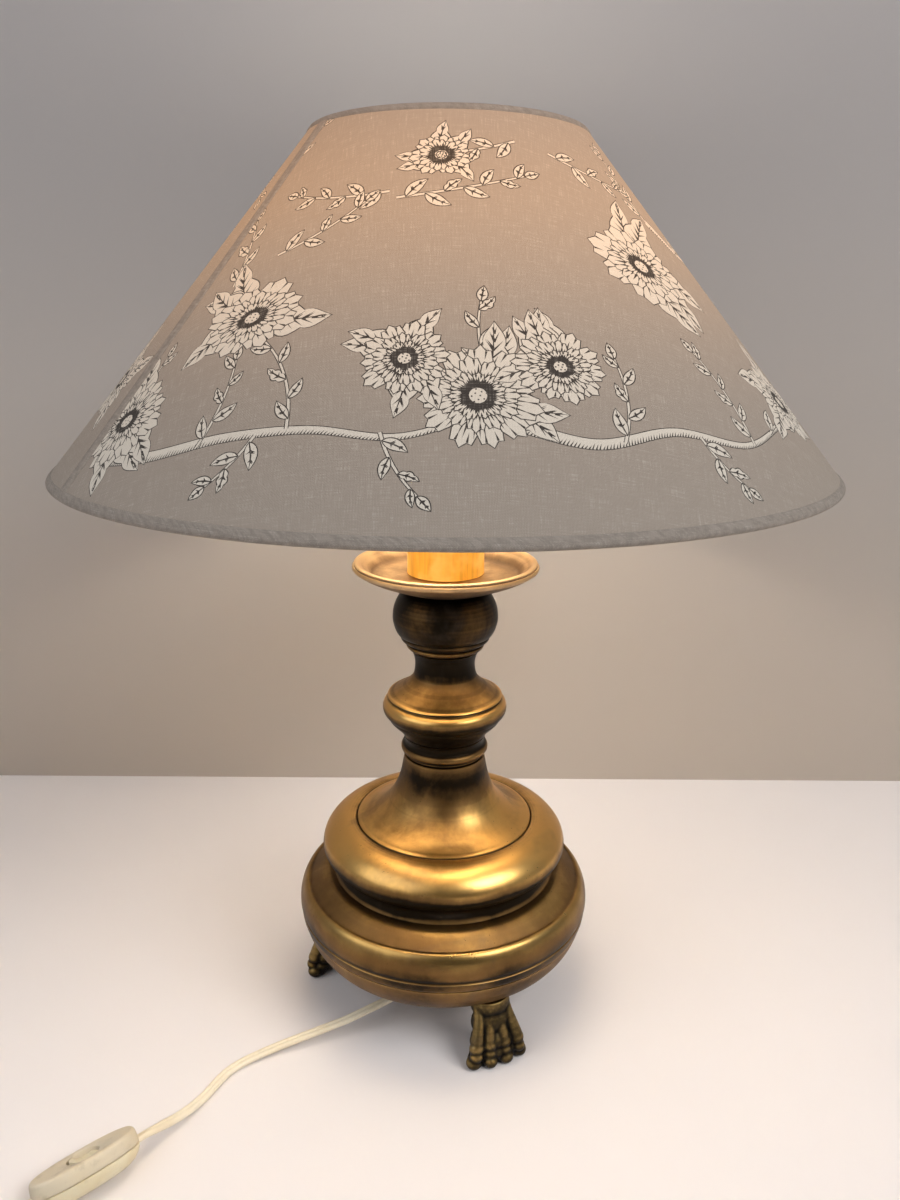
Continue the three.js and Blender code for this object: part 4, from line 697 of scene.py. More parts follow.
def moulded_plastic_group():
    """Old moulded plastic: slight yellowing, mottled gloss, dirt from hands and tiny specks."""
    if "Moulded Plastic" in bpy.data.node_groups:
        return bpy.data.node_groups["Moulded Plastic"]
    tree, given, out = new_group("Moulded Plastic", [
        ("Colour", COLOUR, (0.7, 0.64, 0.5)), ("Yellowing", FLOAT, 0.4), ("Grime", FLOAT, 0.3),
        ("Roughness", FLOAT, 0.42), ("Grain", FLOAT, 900.0),
    ], [("Colour", COLOUR), ("Roughness", FLOAT), ("Height", FLOAT)])
    where = object_place(tree)
    patches = noise(tree, where, 34, 3, 0.5, 0.5)
    grime = noise(tree, where, 120, 5, 0.65)
    grain = noise(tree, where, given.outputs["Grain"], 2, 0.5)
    yellow = maths(tree, "MULTIPLY", ramp(tree, patches, 0.35, 0.7), given.outputs["Yellowing"])
    colour = blend_colours(tree, yellow, given.outputs["Colour"], (0.66, 0.50, 0.25))
    dirt = maths(tree, "MULTIPLY", ramp(tree, grime, 0.52, 0.74), given.outputs["Grime"])
    colour = blend_colours(tree, dirt, colour, (0.30, 0.24, 0.16))
    rough = swayed(tree, given.outputs["Roughness"], grime, 0.25)
    dress(tree, out, Colour=colour, Roughness=rough, Height=grain)
    return tree


def new_material(name):
    material = bpy.data.materials.new(name)
    material.use_nodes = True
    tree = material.node_tree
    shader = next(n for n in tree.nodes if n.type == "BSDF_PRINCIPLED")
    return material, tree, shader


def bumped(tree, shader, height, distance, strength=0.5):
    bump = node_at(tree, "ShaderNodeBump")
    bump.inputs["Strength"].default_value = strength
    bump.inputs["Distance"].default_value = distance
    feed(tree, bump.inputs["Height"], height)
    feed(tree, shader.inputs["Normal"], bump.outputs["Normal"])


def use_group(tree, group, **values):
    node = node_at(tree, "ShaderNodeGroup", node_tree=group)
    dress(tree, node, **values)
    return node


def aged_metal(name, bright, warm, dark, tarnish=0.5, scale=1.0, lines=1.0, roughness=0.34, hollow=True,
               underside=0.42):
    material, tree, shader = new_material(name)
    values = dict(Bright=bright, Warm=warm, Dark=dark, Tarnish=tarnish, Scale=scale, Turning_Lines=lines,
                  Roughness=roughness, Underside=underside)
    if hollow:
        mark = node_at(tree, "ShaderNodeAttribute", attribute_name="hollow")
        values["Hollow"] = mark.outputs["Fac"]
    patina = use_group(tree, brass_patina_group(), **values)
    dress(tree, shader, Base_Color=patina.outputs["Colour"], Roughness=patina.outputs["Roughness"],
          Metallic=patina.outputs["Metallic"])
    bumped(tree, shader, patina.outputs["Height"], 0.00012, 0.35)
    return material


def plain_metal(name, colour, roughness=0.3):
    """Plated or bare metal, faintly worn, with painted top light."""
    warm, dark = (tuple(v * share for v in colour) for share in (0.55, 0.2))
    return aged_metal(name, colour, warm, dark, 0.1, 2.0, 0.6, roughness, hollow=False)


def plastic(name, colour, yellowing=0.3, grime=0.25, roughness=0.42, grain=900.0, bump=0.00004):
    material, tree, shader = new_material(name)
    body = use_group(tree, moulded_plastic_group(), Colour=colour, Yellowing=yellowing, Grime=grime,
                     Roughness=roughness, Grain=grain)
    dress(tree, shader, Base_Color=body.outputs["Colour"], Roughness=body.outputs["Roughness"])
    bumped(tree, shader, body.outputs["Height"], bump, 0.3)
    return material


# The last value weights painted top light: faces turned up painted lighter, faces turned down darker.
BRASS_LOOKS = {  # rubbed colour, tarnish, roughness, and how much facing up or down counts
    "bowl brass": ("brass_olive", 0.95, 0.33, 0.1), "base brass": ("brass_olive", 1.1, 0.28, 0.6),
    "cushion brass": ("brass_bright", 1.35, 0.30, 1.3), "bell brass": ("brass_bright", 1.4, 0.29, 1.5),
    "knop brass": ("brass_bright", 1.15, 0.31, 1.1), "dark brass": ("brass_olive", 1.3, 0.29, 0.5),
}
METAL_LOOKS = {  # colour and roughness
    "zinc steel": ((0.55, 0.55, 0.54), 0.32), "nickel": ((0.66, 0.62, 0.55), 0.22),
    "contact brass": ((0.66, 0.46, 0.18), 0.3),
}
PLASTIC_LOOKS = {  # colour, yellowing, grime and roughness
    "ivory lead": ("lead_ivory", 0.25, 0.2, 0.4), "switch drab": ("switch_drab", 0.25, 0.35, 0.5),
    "switch cream": ("switch_cream", 0.6, 0.3, 0.42), "porcelain": ((0.78, 0.76, 0.71), 0.1, 0.15, 0.22),
    "black tie": ((0.02, 0.02, 0.02), 0.0, 0.1, 0.45), "frame white": ((0.62, 0.58, 0.50), 0.2, 0.3, 0.4),
}
PLAIN_CLOTH_LIGHT = {"shade hem": 0.35, "shade seam": 0.6}


def tone_of(key):
    """One of the scene's colours."""
    return tuple(getattr(bpy.context.scene.lamp_colours, key))


def finish(name):
    """The finish of that name, made the first time it is asked for."""
    if name in bpy.data.materials:
        return bpy.data.materials[name]
    if name in BRASS_LOOKS:
        rubbed, tarnish, roughness, underside = BRASS_LOOKS[name]
        return aged_metal(name, tone_of(rubbed), tone_of("brass_warm"), tone_of("brass_dark"), tarnish,
                          roughness=roughness, underside=underside)
    if name == "drip pan bronze":
        return aged_metal(name, tone_of("pan_bronze"), (0.24, 0.155, 0.085), (0.06, 0.04, 0.024),
                          0.5, 1.6, 0.5, 0.44)
    if name == "foot bronze":
        return aged_metal(name, (0.36, 0.24, 0.085), (0.055, 0.040, 0.019), (0.010, 0.008, 0.006),
                          1.0, 2.4, 0.0, 0.34)
    if name in METAL_LOOKS:
        return plain_metal(name, *METAL_LOOKS[name])
    if name in PLASTIC_LOOKS:
        colour, *wear_and_light = PLASTIC_LOOKS[name]
        return plastic(name, tone_of(colour) if isinstance(colour, str) else colour, *wear_and_light)
    if name in PLAIN_CLOTH_LIGHT:
        return plain_cloth_finish(name, PLAIN_CLOTH_LIGHT[name])
    makers = {
        "candle sleeve": candle_sleeve_finish, "bulb glass": bulb_glass_finish,
        "shade cloth": shade_cloth_finish, "shade lining": shade_lining_finish,
    }
    return makers[name]()


def candle_sleeve_finish():
    """Amber card tube with upright streaks and a painted glow of the bulb's light."""
    material, tree, shader = new_material("candle sleeve")
    where = object_place(tree)
    streaks = noise(tree, stretched(tree, where, (1, 1, 0.06)), 420, 4, 0.6)
    patches = noise(tree, where, 60, 3, 0.5)
    amber = tone_of("candle_amber")
    colour = blend_colours(tree, ramp(tree, streaks, 0.38, 0.62), tuple(v * 0.72 for v in amber), amber)
    colour = blend_colours(tree, ramp(tree, patches, 0.45, 0.7), colour, (0.66, 0.37, 0.10))
    feed(tree, shader.inputs["Base Color"], colour)
    feed(tree, shader.inputs["Roughness"], ramp(tree, streaks, 0.3, 0.7, 0.42, 0.6))
    # Painted glow: the sleeve is coloured as if lit by the bulb.
    glow = blend_colours(tree, 0.5, colour, (0.9, 0.42, 0.03))
    feed(tree, shader.inputs["Emission Color"], glow)
    shader.inputs["Emission Strength"].default_value = 0.56
    bumped(tree, shader, streaks, 0.0001, 0.3)
    return material


def bulb_glass_finish():
    """Opal glass, lit from inside."""
    material, tree, shader = new_material("bulb glass")
    where = object_place(tree)
    frost = noise(tree, where, 900, 2)
    feed(tree, shader.inputs["Base Color"], blend_colours(tree, frost, (0.88, 0.84, 0.76), (0.93, 0.9, 0.84)))
    feed(tree, shader.inputs["Roughness"], ramp(tree, frost, 0.2, 0.8, 0.22, 0.4))
    warm = ramp(tree, axis_of(tree, where, "Z"), 0.455, 0.50)
    feed(tree, shader.inputs["Emission Color"], blend_colours(tree, warm, (0.9, 0.5, 0.2), (1.0, 0.83, 0.58)))
    shader.inputs["Emission Strength"].default_value = 2.2
    return material


def shade_light(tree, height):
    """Colour of the light that comes through the shade, by height."""
    ramp_node = node_at(tree, "ShaderNodeValToRGB")
    feed(tree, ramp_node.inputs["Fac"], ramp(tree, height, 0.364, 0.546, 0, 1, smooth=False))
    stops = ramp_node.color_ramp
    stops.interpolation = "B_SPLINE"
    colours = [
        (0.00, (0.030, 0.024, 0.016)), (0.25, (0.060, 0.040, 0.022)), (0.45, (0.150, 0.088, 0.040)),
        (0.66, (0.305, 0.152, 0.042)), (0.82, (0.350, 0.164, 0.036)), (1.00, (0.248, 0.114, 0.025)),
    ]
    stops.elements[0].position, stops.elements[0].color = colours[0][0], (*colours[0][1], 1)
    stops.elements[1].position, stops.elements[1].color = colours[-1][0], (*colours[-1][1], 1)
    for place, colour in colours[1:-1]:
        stops.elements.new(place).color = (*colour, 1)
    return ramp_node.outputs["Color"]


def cloth_weave_group():
    """Plain weave with slubs: a mask for the threads' tops and a height, from flat coordinates."""
    if "Cloth Weave" in bpy.data.node_groups:
        return bpy.data.node_groups["Cloth Weave"]
    tree, given, out = new_group("Cloth Weave", [
        ("Flat", "NodeSocketVector", (0, 0, 0)), ("Threads", FLOAT, 1700.0), ("Slub", FLOAT, 0.5),
    ], [("Thread", FLOAT), ("Height", FLOAT), ("Slubs", FLOAT)])
    split = node_at(tree, "ShaderNodeSeparateXYZ")
    feed(tree, split.inputs[0], given.outputs["Flat"])
    wobble = noise(tree, given.outputs["Flat"], 120, 2)
    waves = []
    for axis in ("X", "Y"):
        along = maths(tree, "MULTIPLY", split.outputs[axis], given.outputs["Threads"])
        along = maths(tree, "MULTIPLY_ADD", wobble, 3.0, along)
        waves.append(maths(tree, "SINE", maths(tree, "MULTIPLY", along, math.pi)))
    over = maths(tree, "MULTIPLY", waves[0], waves[1])
    warp = maths(tree, "ABSOLUTE", waves[0])
    weft = maths(tree, "ABSOLUTE", waves[1])
    thread = maths(tree, "MULTIPLY_ADD", warp, 0.45, maths(tree, "MULTIPLY", weft, 0.45))
    thread = maths(tree, "MULTIPLY_ADD", over, 0.25, thread)
    across = noise(tree, stretched(tree, given.outputs["Flat"], (90, 1700, 1)), 1.0, 3, 0.6)
    along = noise(tree, stretched(tree, given.outputs["Flat"], (1700, 90, 1)), 1.0, 3, 0.6)
    slubs = maths(tree, "MULTIPLY", maths(tree, "ADD", across, along), 0.5)
    height = maths(tree, "MULTIPLY_ADD", slubs, given.outputs["Slub"], thread)
    dress(tree, out, Thread=thread, Height=height, Slubs=slubs)
    return tree


def woven_cloth(tree, shader, colour, light_share, flat):
    """Weave, colour and lamplight of the shade's cloth."""
    weave = use_group(tree, cloth_weave_group(), Flat=flat)
    dark = maths(tree, "MULTIPLY", ramp(tree, weave.outputs["Thread"], 0.1, 0.75, 1, 0), 0.42)
    tinted = blend_colours(tree, dark, colour, (0.10, 0.085, 0.07))
    slubs = ramp(tree, weave.outputs["Slubs"], 0.5, 0.72, 0, 0.4)
    tinted = blend_colours(tree, slubs, tinted, (0.55, 0.52, 0.46))
    feed(tree, shader.inputs["Base Color"], tinted)
    shader.inputs["Roughness"].default_value = 0.86
    shader.inputs["Specular IOR Level"].default_value = 0.2
    glow = shade_light(tree, axis_of(tree, object_place(tree), "Z"))
    let_through = blend_colours(tree, 1.0, tinted, (3.3, 3.3, 3.3), "MULTIPLY")
    let_through = blend_colours(tree, 0.92, (1, 1, 1), let_through)
    feed(tree, shader.inputs["Emission Color"], blend_colours(tree, 1.0, glow, let_through, "MULTIPLY"))
    shader.inputs["Emission Strength"].default_value = light_share
    bumped(tree, shader, weave.outputs["Height"], 0.00022, 0.55)


def shade_cloth_finish():
    """Printed cotton laid on stiff backing, lit from behind."""
    material, tree, shader = new_material("shade cloth")
    ink = node_at(tree, "ShaderNodeAttribute", attribute_name="print_tone").outputs["Fac"]
    flat = node_at(tree, "ShaderNodeUVMap", uv_map="flat").outputs["UV"]
    ragged = swayed(tree, ink, noise(tree, flat, 2200, 2), 0.12)
    cream, inked = ramp(tree, ragged, 0.15, 0.35), ramp(tree, ragged, 0.6, 0.85)
    colour = blend_colours(tree, cream, tone_of("cloth_ground"), tone_of("cloth_cream"))
    colour = blend_colours(tree, inked, colour, tone_of("cloth_ink"))
    woven_cloth(tree, shader, colour, 1.0, flat)
    return material


def plain_cloth_finish(name, light_share):
    """The same cloth without print, doubled, with less light through it."""
    material, tree, shader = new_material(name)
    flat = node_at(tree, "ShaderNodeUVMap", uv_map="flat").outputs["UV"]
    mottle = noise(tree, flat, 300, 3)
    ground = tone_of("cloth_ground")
    colour = blend_colours(tree, ramp(tree, mottle, 0.35, 0.65), tuple(v * 0.8 for v in ground), ground)
    woven_cloth(tree, shader, colour, light_share, flat)
    return material


def shade_lining_finish():
    """White plastic backing with a painted glow of lamplight on the lamp's side."""
    material, tree, shader = new_material("shade lining")
    where = object_place(tree)
    grain = noise(tree, where, 500, 3)
    colour = blend_colours(tree, grain, (0.72, 0.66, 0.56), (0.78, 0.72, 0.62))
    feed(tree, shader.inputs["Base Color"], colour)
    feed(tree, shader.inputs["Roughness"], ramp(tree, grain, 0.3, 0.7, 0.4, 0.55))
    # Painted lamplight: the backing glows by height, as the cloth does.
    feed(tree, shader.inputs["Emission Color"], shade_light(tree, axis_of(tree, where, "Z")))
    shader.inputs["Emission Strength"].default_value = 1.6
    bumped(tree, shader, grain, 0.0001, 0.2)
    return material


# ---------------------------------------------------------------- pieces

# Shelter from light is painted into each piece as shade; the last value weights it.
TURNED_BRASS = [  # piece, profile, frame's node, finish, and how much shelter darkens it
    ("bowl_skin", BOWL, "base_bowl", "bowl brass", 0.3),
    ("base_ring_skin", BASE_SHELL, "base_shell", "base brass", 0.35),
    ("cushion_skin", CUSHION, "base_cushion", "cushion brass", 1.6),
    ("bell_skin", BELL, "bell", "bell brass", 0.9),
    ("collar_skin", COLLAR, "collar_ring", "dark brass", 0.9),
    ("saucer_skin", SAUCER, "saucer_knop", "knop brass", 0.9),
    ("ball_skin", BALL, "ball_knop", "dark brass", 0.9),
]


def add_turned(name, profile, look, slot, node, body=STAND, **how):
    """Turned piece that takes the place of one of the frame's nodes."""
    add_piece(name, turned_mesh(name, profile, **how), body, finish(look), [node])


class LAMP_OT_turned_brass(bpy.types.Operator):
    """Turns the bowl, base ring, cushion, bell, collar, saucer and ball in aged brass"""

    bl_idname = "lamp.turned_brass"
    bl_label = "Turned Brass"

    def execute(self, context):
        for name, profile, node, look, grime in TURNED_BRASS:
            add_turned(name, profile, look, "brass", node, grime=grime)
        return {"FINISHED"}


class LAMP_OT_drip_pan(bpy.types.Operator):
    """Turns the drip pan and the candle sleeve with its cap"""

    bl_idname = "lamp.drip_pan"
    bl_label = "Drip Pan and Candle Sleeve"

    def execute(self, context):
        add_turned("pan_skin", PAN, "drip pan bronze", "brass", "drip_pan")
        add_turned("sleeve_skin", SLEEVE, "candle sleeve", "sleeve_amber", "candle_sleeve",
                   sides=96, step=2.5)
        add_turned("sleeve_cap_skin", SLEEVE_CAP, "nickel", "brass", "sleeve_cap", sides=96)
        return {"FINISHED"}


def bump_at(build, centre, radii):
    """Adds a rounded lump to a mesh under construction."""
    matrix = Matrix.Translation(Vector(centre) * MM) @ Matrix.Diagonal((*(r * MM for r in radii), 1))
    bmesh.ops.create_icosphere(build, subdivisions=3, radius=1, matrix=matrix)


def limb(build, points, radii, steps=7):
    """Adds a row of lumps along a smooth line, as one limb."""
    line = smooth_through(points, 1.0)
    at = np.linspace(0, 1, len(radii))
    for k in np.linspace(0, len(line) - 1, steps * (len(points) - 1) + 1):
        centre = line[int(round(k))]
        radius = np.interp(k / (len(line) - 1), at, radii)
        bump_at(build, centre, (radius, radius, radius))


# Toes as (side, half width) and the paw's body as (centre, radii), in mm from the lamp's axis. The soles
# stand on the table, and the bowl rests on the tops.
SOLE_HEIGHT, FOOT_TOP, CAST_GRAIN = 0.00002, 0.0407, 0.00056
TOES = ((-14.2, 4.7), (-4.3, 4.3), (6.2, 4.4), (16.4, 4.1))
PAW_BODY = (
    ((78, 1, 36), (10, 13, 10)), ((80.6, 1.2, 25), (9, 14, 12)), ((84, 1.4, 14), (9, 16.4, 9.5)),
    ((85.6, 1.4, 7.6), (8.6, 17.4, 7)), ((76, 1, 9), (7, 12, 9)),
)


def paw_mesh(name, azimuth):
    """Mesh of a cast paw foot: four toes with knuckles and tendons below a short leg."""
    build = bmesh.new()
    for centre, radii in PAW_BODY:
        bump_at(build, centre, radii)
    for side, wide in TOES:
        lean = side / 16
        limb(build, [
            (78.6, side * 0.54, 39), (83.8, side * 0.64, 30), (87.4, side * 0.79, 21.6),
            (89.4, side * 0.9, 15),
        ], (3.6, 3.6, 3.8, 4.2))
        bump_at(build, (89.8, side * 0.91, 14.2), (4.2, wide * 1.04, 4.6))
        bump_at(build, (91, side * 0.95, 9.2), (4, wide * 0.92, 4.2))
        bump_at(build, (92.4 - 0.012 * side * side, side + lean * 0.4, 4.4), (4.9, wide * 1.1, 4.5))
        bump_at(build, (88, side * 0.94, 4.4), (5.6, wide * 0.94, 4.4))
    turn = Matrix.Rotation(math.radians(azimuth - 90), 3, "Z")
    bmesh.ops.rotate(build, verts=build.verts, matrix=turn)
    mesh = bpy.data.meshes.new(name)
    build.to_mesh(mesh)
    build.free()
    return mesh


class LAMP_OT_paw_feet(bpy.types.Operator):
    """Casts the three paw feet"""

    bl_idname = "lamp.paw_feet"
    bl_label = "Paw Feet"

    def execute(self, context):
        for node, azimuth in FOOT_DIRECTIONS.items():
            name = node + "_paw"
            paw = add_piece(name, paw_mesh(name, azimuth), STAND, finish("foot bronze"),
                            [node])
            remesh = paw.modifiers.new("one skin", "REMESH")
            remesh.mode, remesh.voxel_size, remesh.use_smooth_shade = "VOXEL", CAST_GRAIN, True
            soften = paw.modifiers.new("soften", "SMOOTH")
            soften.factor, soften.iterations = 0.5, 9
            applied(paw)
            for vertex in paw.data.vertices:
                vertex.co.z = min(max(vertex.co.z, SOLE_HEIGHT), FOOT_TOP)
            mark_hollows(paw.data, 20, 1.0)
            paw.data.materials.clear()
            paw.data.materials.append(finish("foot bronze"))
        return {"FINISHED"}


class LAMP_OT_lampholder(bpy.types.Operator):
    """Turns the lampholder and the bulb"""

    bl_idname = "lamp.lampholder"
    bl_label = "Lampholder and Bulb"

    def execute(self, context):
        for name, profile, look, slot, node in (
            ("holder_cup_skin", HOLDER_CUP, "porcelain", "holder_ceramic", "holder_cup"),
            ("holder_skirt_skin", HOLDER_SKIRT, "porcelain", "holder_ceramic", "holder_skirt"),
            ("holder_core_skin", HOLDER_CORE, "porcelain", "holder_ceramic", "holder_core"),
            ("screw_shell_skin", SCREW_SHELL, "nickel", "holder_nickel", "holder_screw_shell"),
        ):
            add_turned(name, profile, look, slot, node, sides=72, step=0.6)
        add_turned("bulb_cap_skin", BULB_CAP, "nickel", "holder_nickel", "bulb_cap", BULB_SCREW,
                   sides=72, step=0.6)
        add_turned("bulb_glass_skin", BULB, "bulb glass", "bulb_white", "bulb_glass", BULB_GLASS,
                   sides=72, step=1.6)
        return {"FINISHED"}


KEPT_FINISHES = {
    "clamp_plate": "dark brass", "foot_screw_front": "zinc steel", "foot_screw_left": "zinc steel",
    "foot_screw_rear": "zinc steel", "threaded_tube": "zinc steel", "bottom_washer": "zinc steel",
    "bottom_nut": "zinc steel", "lock_nut": "zinc steel", "holder_contact": "contact brass",
    "bulb_contact": "zinc steel", "bulb_stem": "porcelain", "inner_lead": "ivory lead",
    "switch_screw_near": "zinc steel", "switch_screw_far": "zinc steel", "rocker_pin": "zinc steel",
    "switch_contacts": "contact brass", "plug_pin_left": "nickel", "plug_pin_right": "nickel",
    "shade_ring_nut": "nickel", "shade_bottom_wire": "frame white",
}


class LAMP_OT_hardware(bpy.types.Operator):
    """Gives the frame's own nuts, screws, pins and contacts their metal and plastic finishes"""

    bl_idname = "lamp.hardware"
    bl_label = "Hidden Hardware"

    def execute(self, context):
        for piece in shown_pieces():
            node = piece.get("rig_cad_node")
            if node in KEPT_FINISHES:
                for place in piece.material_slots:
                    place.material = finish(KEPT_FINISHES[node])
        return {"FINISHED"}


def cone_point(run, azimuth, lift=0.0):
    """Point on the shade in mm: run down the slope, azimuth from the front, lift off the cloth."""
    size = bpy.context.scene.lamp_sizes
    top = size.shade_top_radius / MM, size.shade_top_height / MM
    low = size.shade_bottom_radius / MM, size.shade_bottom_height / MM
    slope = Vector((low[0] - top[0], low[1] - top[1])).normalized()
    out = Vector((-slope.y, slope.x))
    radius = top[0] + slope.x * run + out.x * lift
    height = top[1] + slope.y * run + out.y * lift
    return radius * math.sin(azimuth), -radius * math.cos(azimuth), height


def shade_flat():
    """The cover's flat cut: inner and outer radius in mm and radians of the sector per radian of azimuth."""
    size = bpy.context.scene.lamp_sizes
    rise = (size.shade_top_height - size.shade_bottom_height) / MM
    spread_out = (size.shade_bottom_radius - size.shade_top_radius) / MM
    slant = math.hypot(rise, spread_out)
    share = spread_out / slant
    inner = size.shade_top_radius / MM / share
    return inner, inner + slant, share


class Print:
    """Shapes of the cloth's print on its flat cut, in mm: later shapes cover earlier ones."""

    GROUND, CREAM, INK = 0.0, 0.5, 1.0

    def __init__(self, seed):
        self.shapes = []
        self.dice = random.Random(seed)

    def add(self, points, tone):
        line = [tuple(p) for p in points]
        area = sum(a[0] * b[1] - b[0] * a[1] for a, b in zip(line, line[1:] + line[:1]))
        self.shapes.append((line if area > 0 else line[::-1], tone))

    def inked(self, outline):
        """Cream shape with an ink edge."""
        middle = np.mean(outline, axis=0)
        self.add([p + (p - middle) / max(np.linalg.norm(p - middle), 1e-6) * 0.55 for p in outline], self.INK)
        self.add(outline, self.CREAM)

    def hatch(self, start, stop, wide):
        """Short wedge of ink, broad where it starts."""
        start, stop = np.array(start, float), np.array(stop, float)
        way = stop - start
        side = np.array([-way[1], way[0]]) / max(np.linalg.norm(way), 1e-6) * wide * 0.6
        self.add([start + side, start - side, stop], self.INK)

    def stroke(self, points, wide, end=0.25):
        """Tapered ink line."""
        line = smooth_through(points, 4.5)
        ways = directions(line)
        sides = np.stack([-ways[:, 1], ways[:, 0]], axis=1)
        at = np.linspace(0, 1, len(line))
        half = 0.5 * wide * np.where(at < 0.4, 0.55 + 0.45 * at / 0.4, 1 - (1 - end) * (at - 0.4) / 0.6)
        self.add([*(line + sides * half[:, None]), *(line - sides * half[:, None])[::-1]], self.INK)

    def leaf(self, base, heading, length, wide, bend=0.0, lobes=0):
        """Pointed leaf with a midrib, veins and a shaded half."""
        base = np.array(base, float)
        steps = 9 if lobes == 0 else 6 * lobes
        rib, left, right = [], [], []
        place, turn = base.copy(), heading
        for k in range(steps + 1):
            t = k / steps
            rib.append(place.copy())
            full = math.sin(math.pi * t ** 0.8) ** 0.9 if 0 < t < 1 else 0
            if lobes:
                full *= 0.72 + 0.36 * abs(math.sin(math.pi * lobes * t))
            side = np.array([-math.sin(turn), math.cos(turn)])
            left.append(place + side * full * wide / 2)
            right.append(place - side * full * wide / 2)
            place = place + unit(turn) * length / steps
            turn += bend / steps
        self.inked([*left, *right[::-1]])
        self.stroke([rib[0], rib[len(rib) // 2], rib[-1]], 0.9)
        veins = max(3, int(length / 4.6))
        for v in range(1, veins):
            k = int(v / veins * steps)
            for edge, shade in ((left, 1), (right, 0)):
                reach = min(k + max(steps // 6, 1), steps - 1)
                self.hatch(rib[k], rib[k] + (edge[reach] - rib[k]) * 0.86, 0.8)
                if shade:
                    a = rib[k] + (rib[min(k + 1, steps)] - rib[k]) * 0.5
                    self.hatch(a, a + (edge[reach] - rib[k]) * (0.5 + 0.2 * self.dice.random()), 1.0)

    def stem(self, points, wide, wide_end, hatch=True):
        """Woody stem: ink edge, cream body and hatching along its shaded side."""
        line = smooth_through(points, 3.0)
        ways = directions(line)
        sides = np.stack([-ways[:, 1], ways[:, 0]], axis=1)
        at = np.linspace(0, 1, len(line))
        half = 0.5 * (wide + (wide_end - wide) * at)[:, None]
        for extra, tone in ((0.4, self.INK), (0.0, self.CREAM)):
            self.add([*(line + sides * (half + extra)), *(line - sides * (half + extra))[::-1]], tone)
        if hatch and wide > 2.2:
            for k in range(1, len(line) - 1):
                if half[k][0] < 0.9:
                    continue
                for share in (0.0, 0.5):
                    a = line[k] + (line[k + 1] - line[k]) * share - sides[k] * half[k]
                    b = a + sides[k] * half[k] * (0.7 + 0.6 * self.dice.random()) + ways[k] * 1.2
                    self.hatch(a, b, 0.6)

    def bloom(self, centre, size, petals=9, rings=3, turn=0.0, squash=1.0):
        """Open flower: rings of petals, hatched towards the middle, round a seeded eye."""
        centre = np.array(centre, float)
        flat = np.array([1.0, squash])
        for ring in range(rings):
            reach = size * (1 - 0.27 * ring)
            root = size * 0.12
            for p in range(petals):
                way = turn + 2 * math.pi * (p + 0.5 * ring + 0.12 * self.dice.random()) / petals
                half = math.pi / petals * (1.05 + 0.12 * self.dice.random())
                out = reach * (0.92 + 0.14 * self.dice.random())
                outline = []
                for s in np.linspace(-1, 1, 7):
                    edge = out * (1 - 0.20 * s * s + 0.045 * math.cos(3 * math.pi * s))
                    angle = way + s * half * 0.94
                    outline.append(centre + flat * edge * unit(angle))
                self.inked([*outline, centre + flat * root * unit(way)])
                inner = reach * 0.30
                for s in np.linspace(-0.72, 0.72, 5):
                    angle = way + s * half
                    long = 0.50 + 0.32 * self.dice.random()
                    a = centre + flat * inner * unit(angle)
                    b = centre + flat * (inner + (out - inner) * long) * unit(angle)
                    self.hatch(a, b, 1.7 + 0.3 * ring)
                for s in (-0.36, 0.36):
                    angle = way + s * half
                    a = centre + flat * out * 0.93 * unit(angle)
                    b = centre + flat * out * 0.74 * unit(angle)
                    self.hatch(a, b, 0.9)
        eye = size * 0.15
        for radius, tone in ((eye + 0.5, self.INK), (eye, self.CREAM)):
            self.add([centre + flat * radius * unit(a)
                      for a in np.linspace(0, 2 * math.pi, 14, endpoint=False)], tone)
        for k in range(9):
            angle, reach = 2.4 * k, eye * math.sqrt((k + 0.5) / 9)
            spot = centre + flat * reach * unit(angle)
            self.add([spot + 0.42 * unit(a)
                      for a in np.linspace(0, 2 * math.pi, 6, endpoint=False)], self.INK)

    def spray(self, base, heading, length, leaves=6, bend=0.5, size=13.0):
        """Curved twig with leaves on both sides and a bud at its tip."""
        line, place, turn = [np.array(base, float)], np.array(base, float), heading
        steps = leaves * 2
        for _ in range(steps):
            place = place + unit(turn) * length / steps
            turn += bend / steps
            line.append(place.copy())
        self.stem(line[::2] + ([line[-1]] if steps % 2 else []), 1.3, 0.7, hatch=False)
        ways = directions(line)
        for k in range(1, leaves + 1):
            at = min(2 * k - 1, len(line) - 1)
            way = math.atan2(ways[at][1], ways[at][0])
            side = 1 if k % 2 else -1
            long = size * (1.05 - 0.35 * k / leaves) * (0.85 + 0.3 * self.dice.random())
            self.leaf(line[at], way + side * (0.75 + 0.25 * self.dice.random()), long, long * 0.42,
                      side * -0.5, 3 if k % 3 == 0 else 0)
        self.leaf(line[-1], math.atan2(ways[-1][1], ways[-1][0]), size * 0.62, size * 0.34)


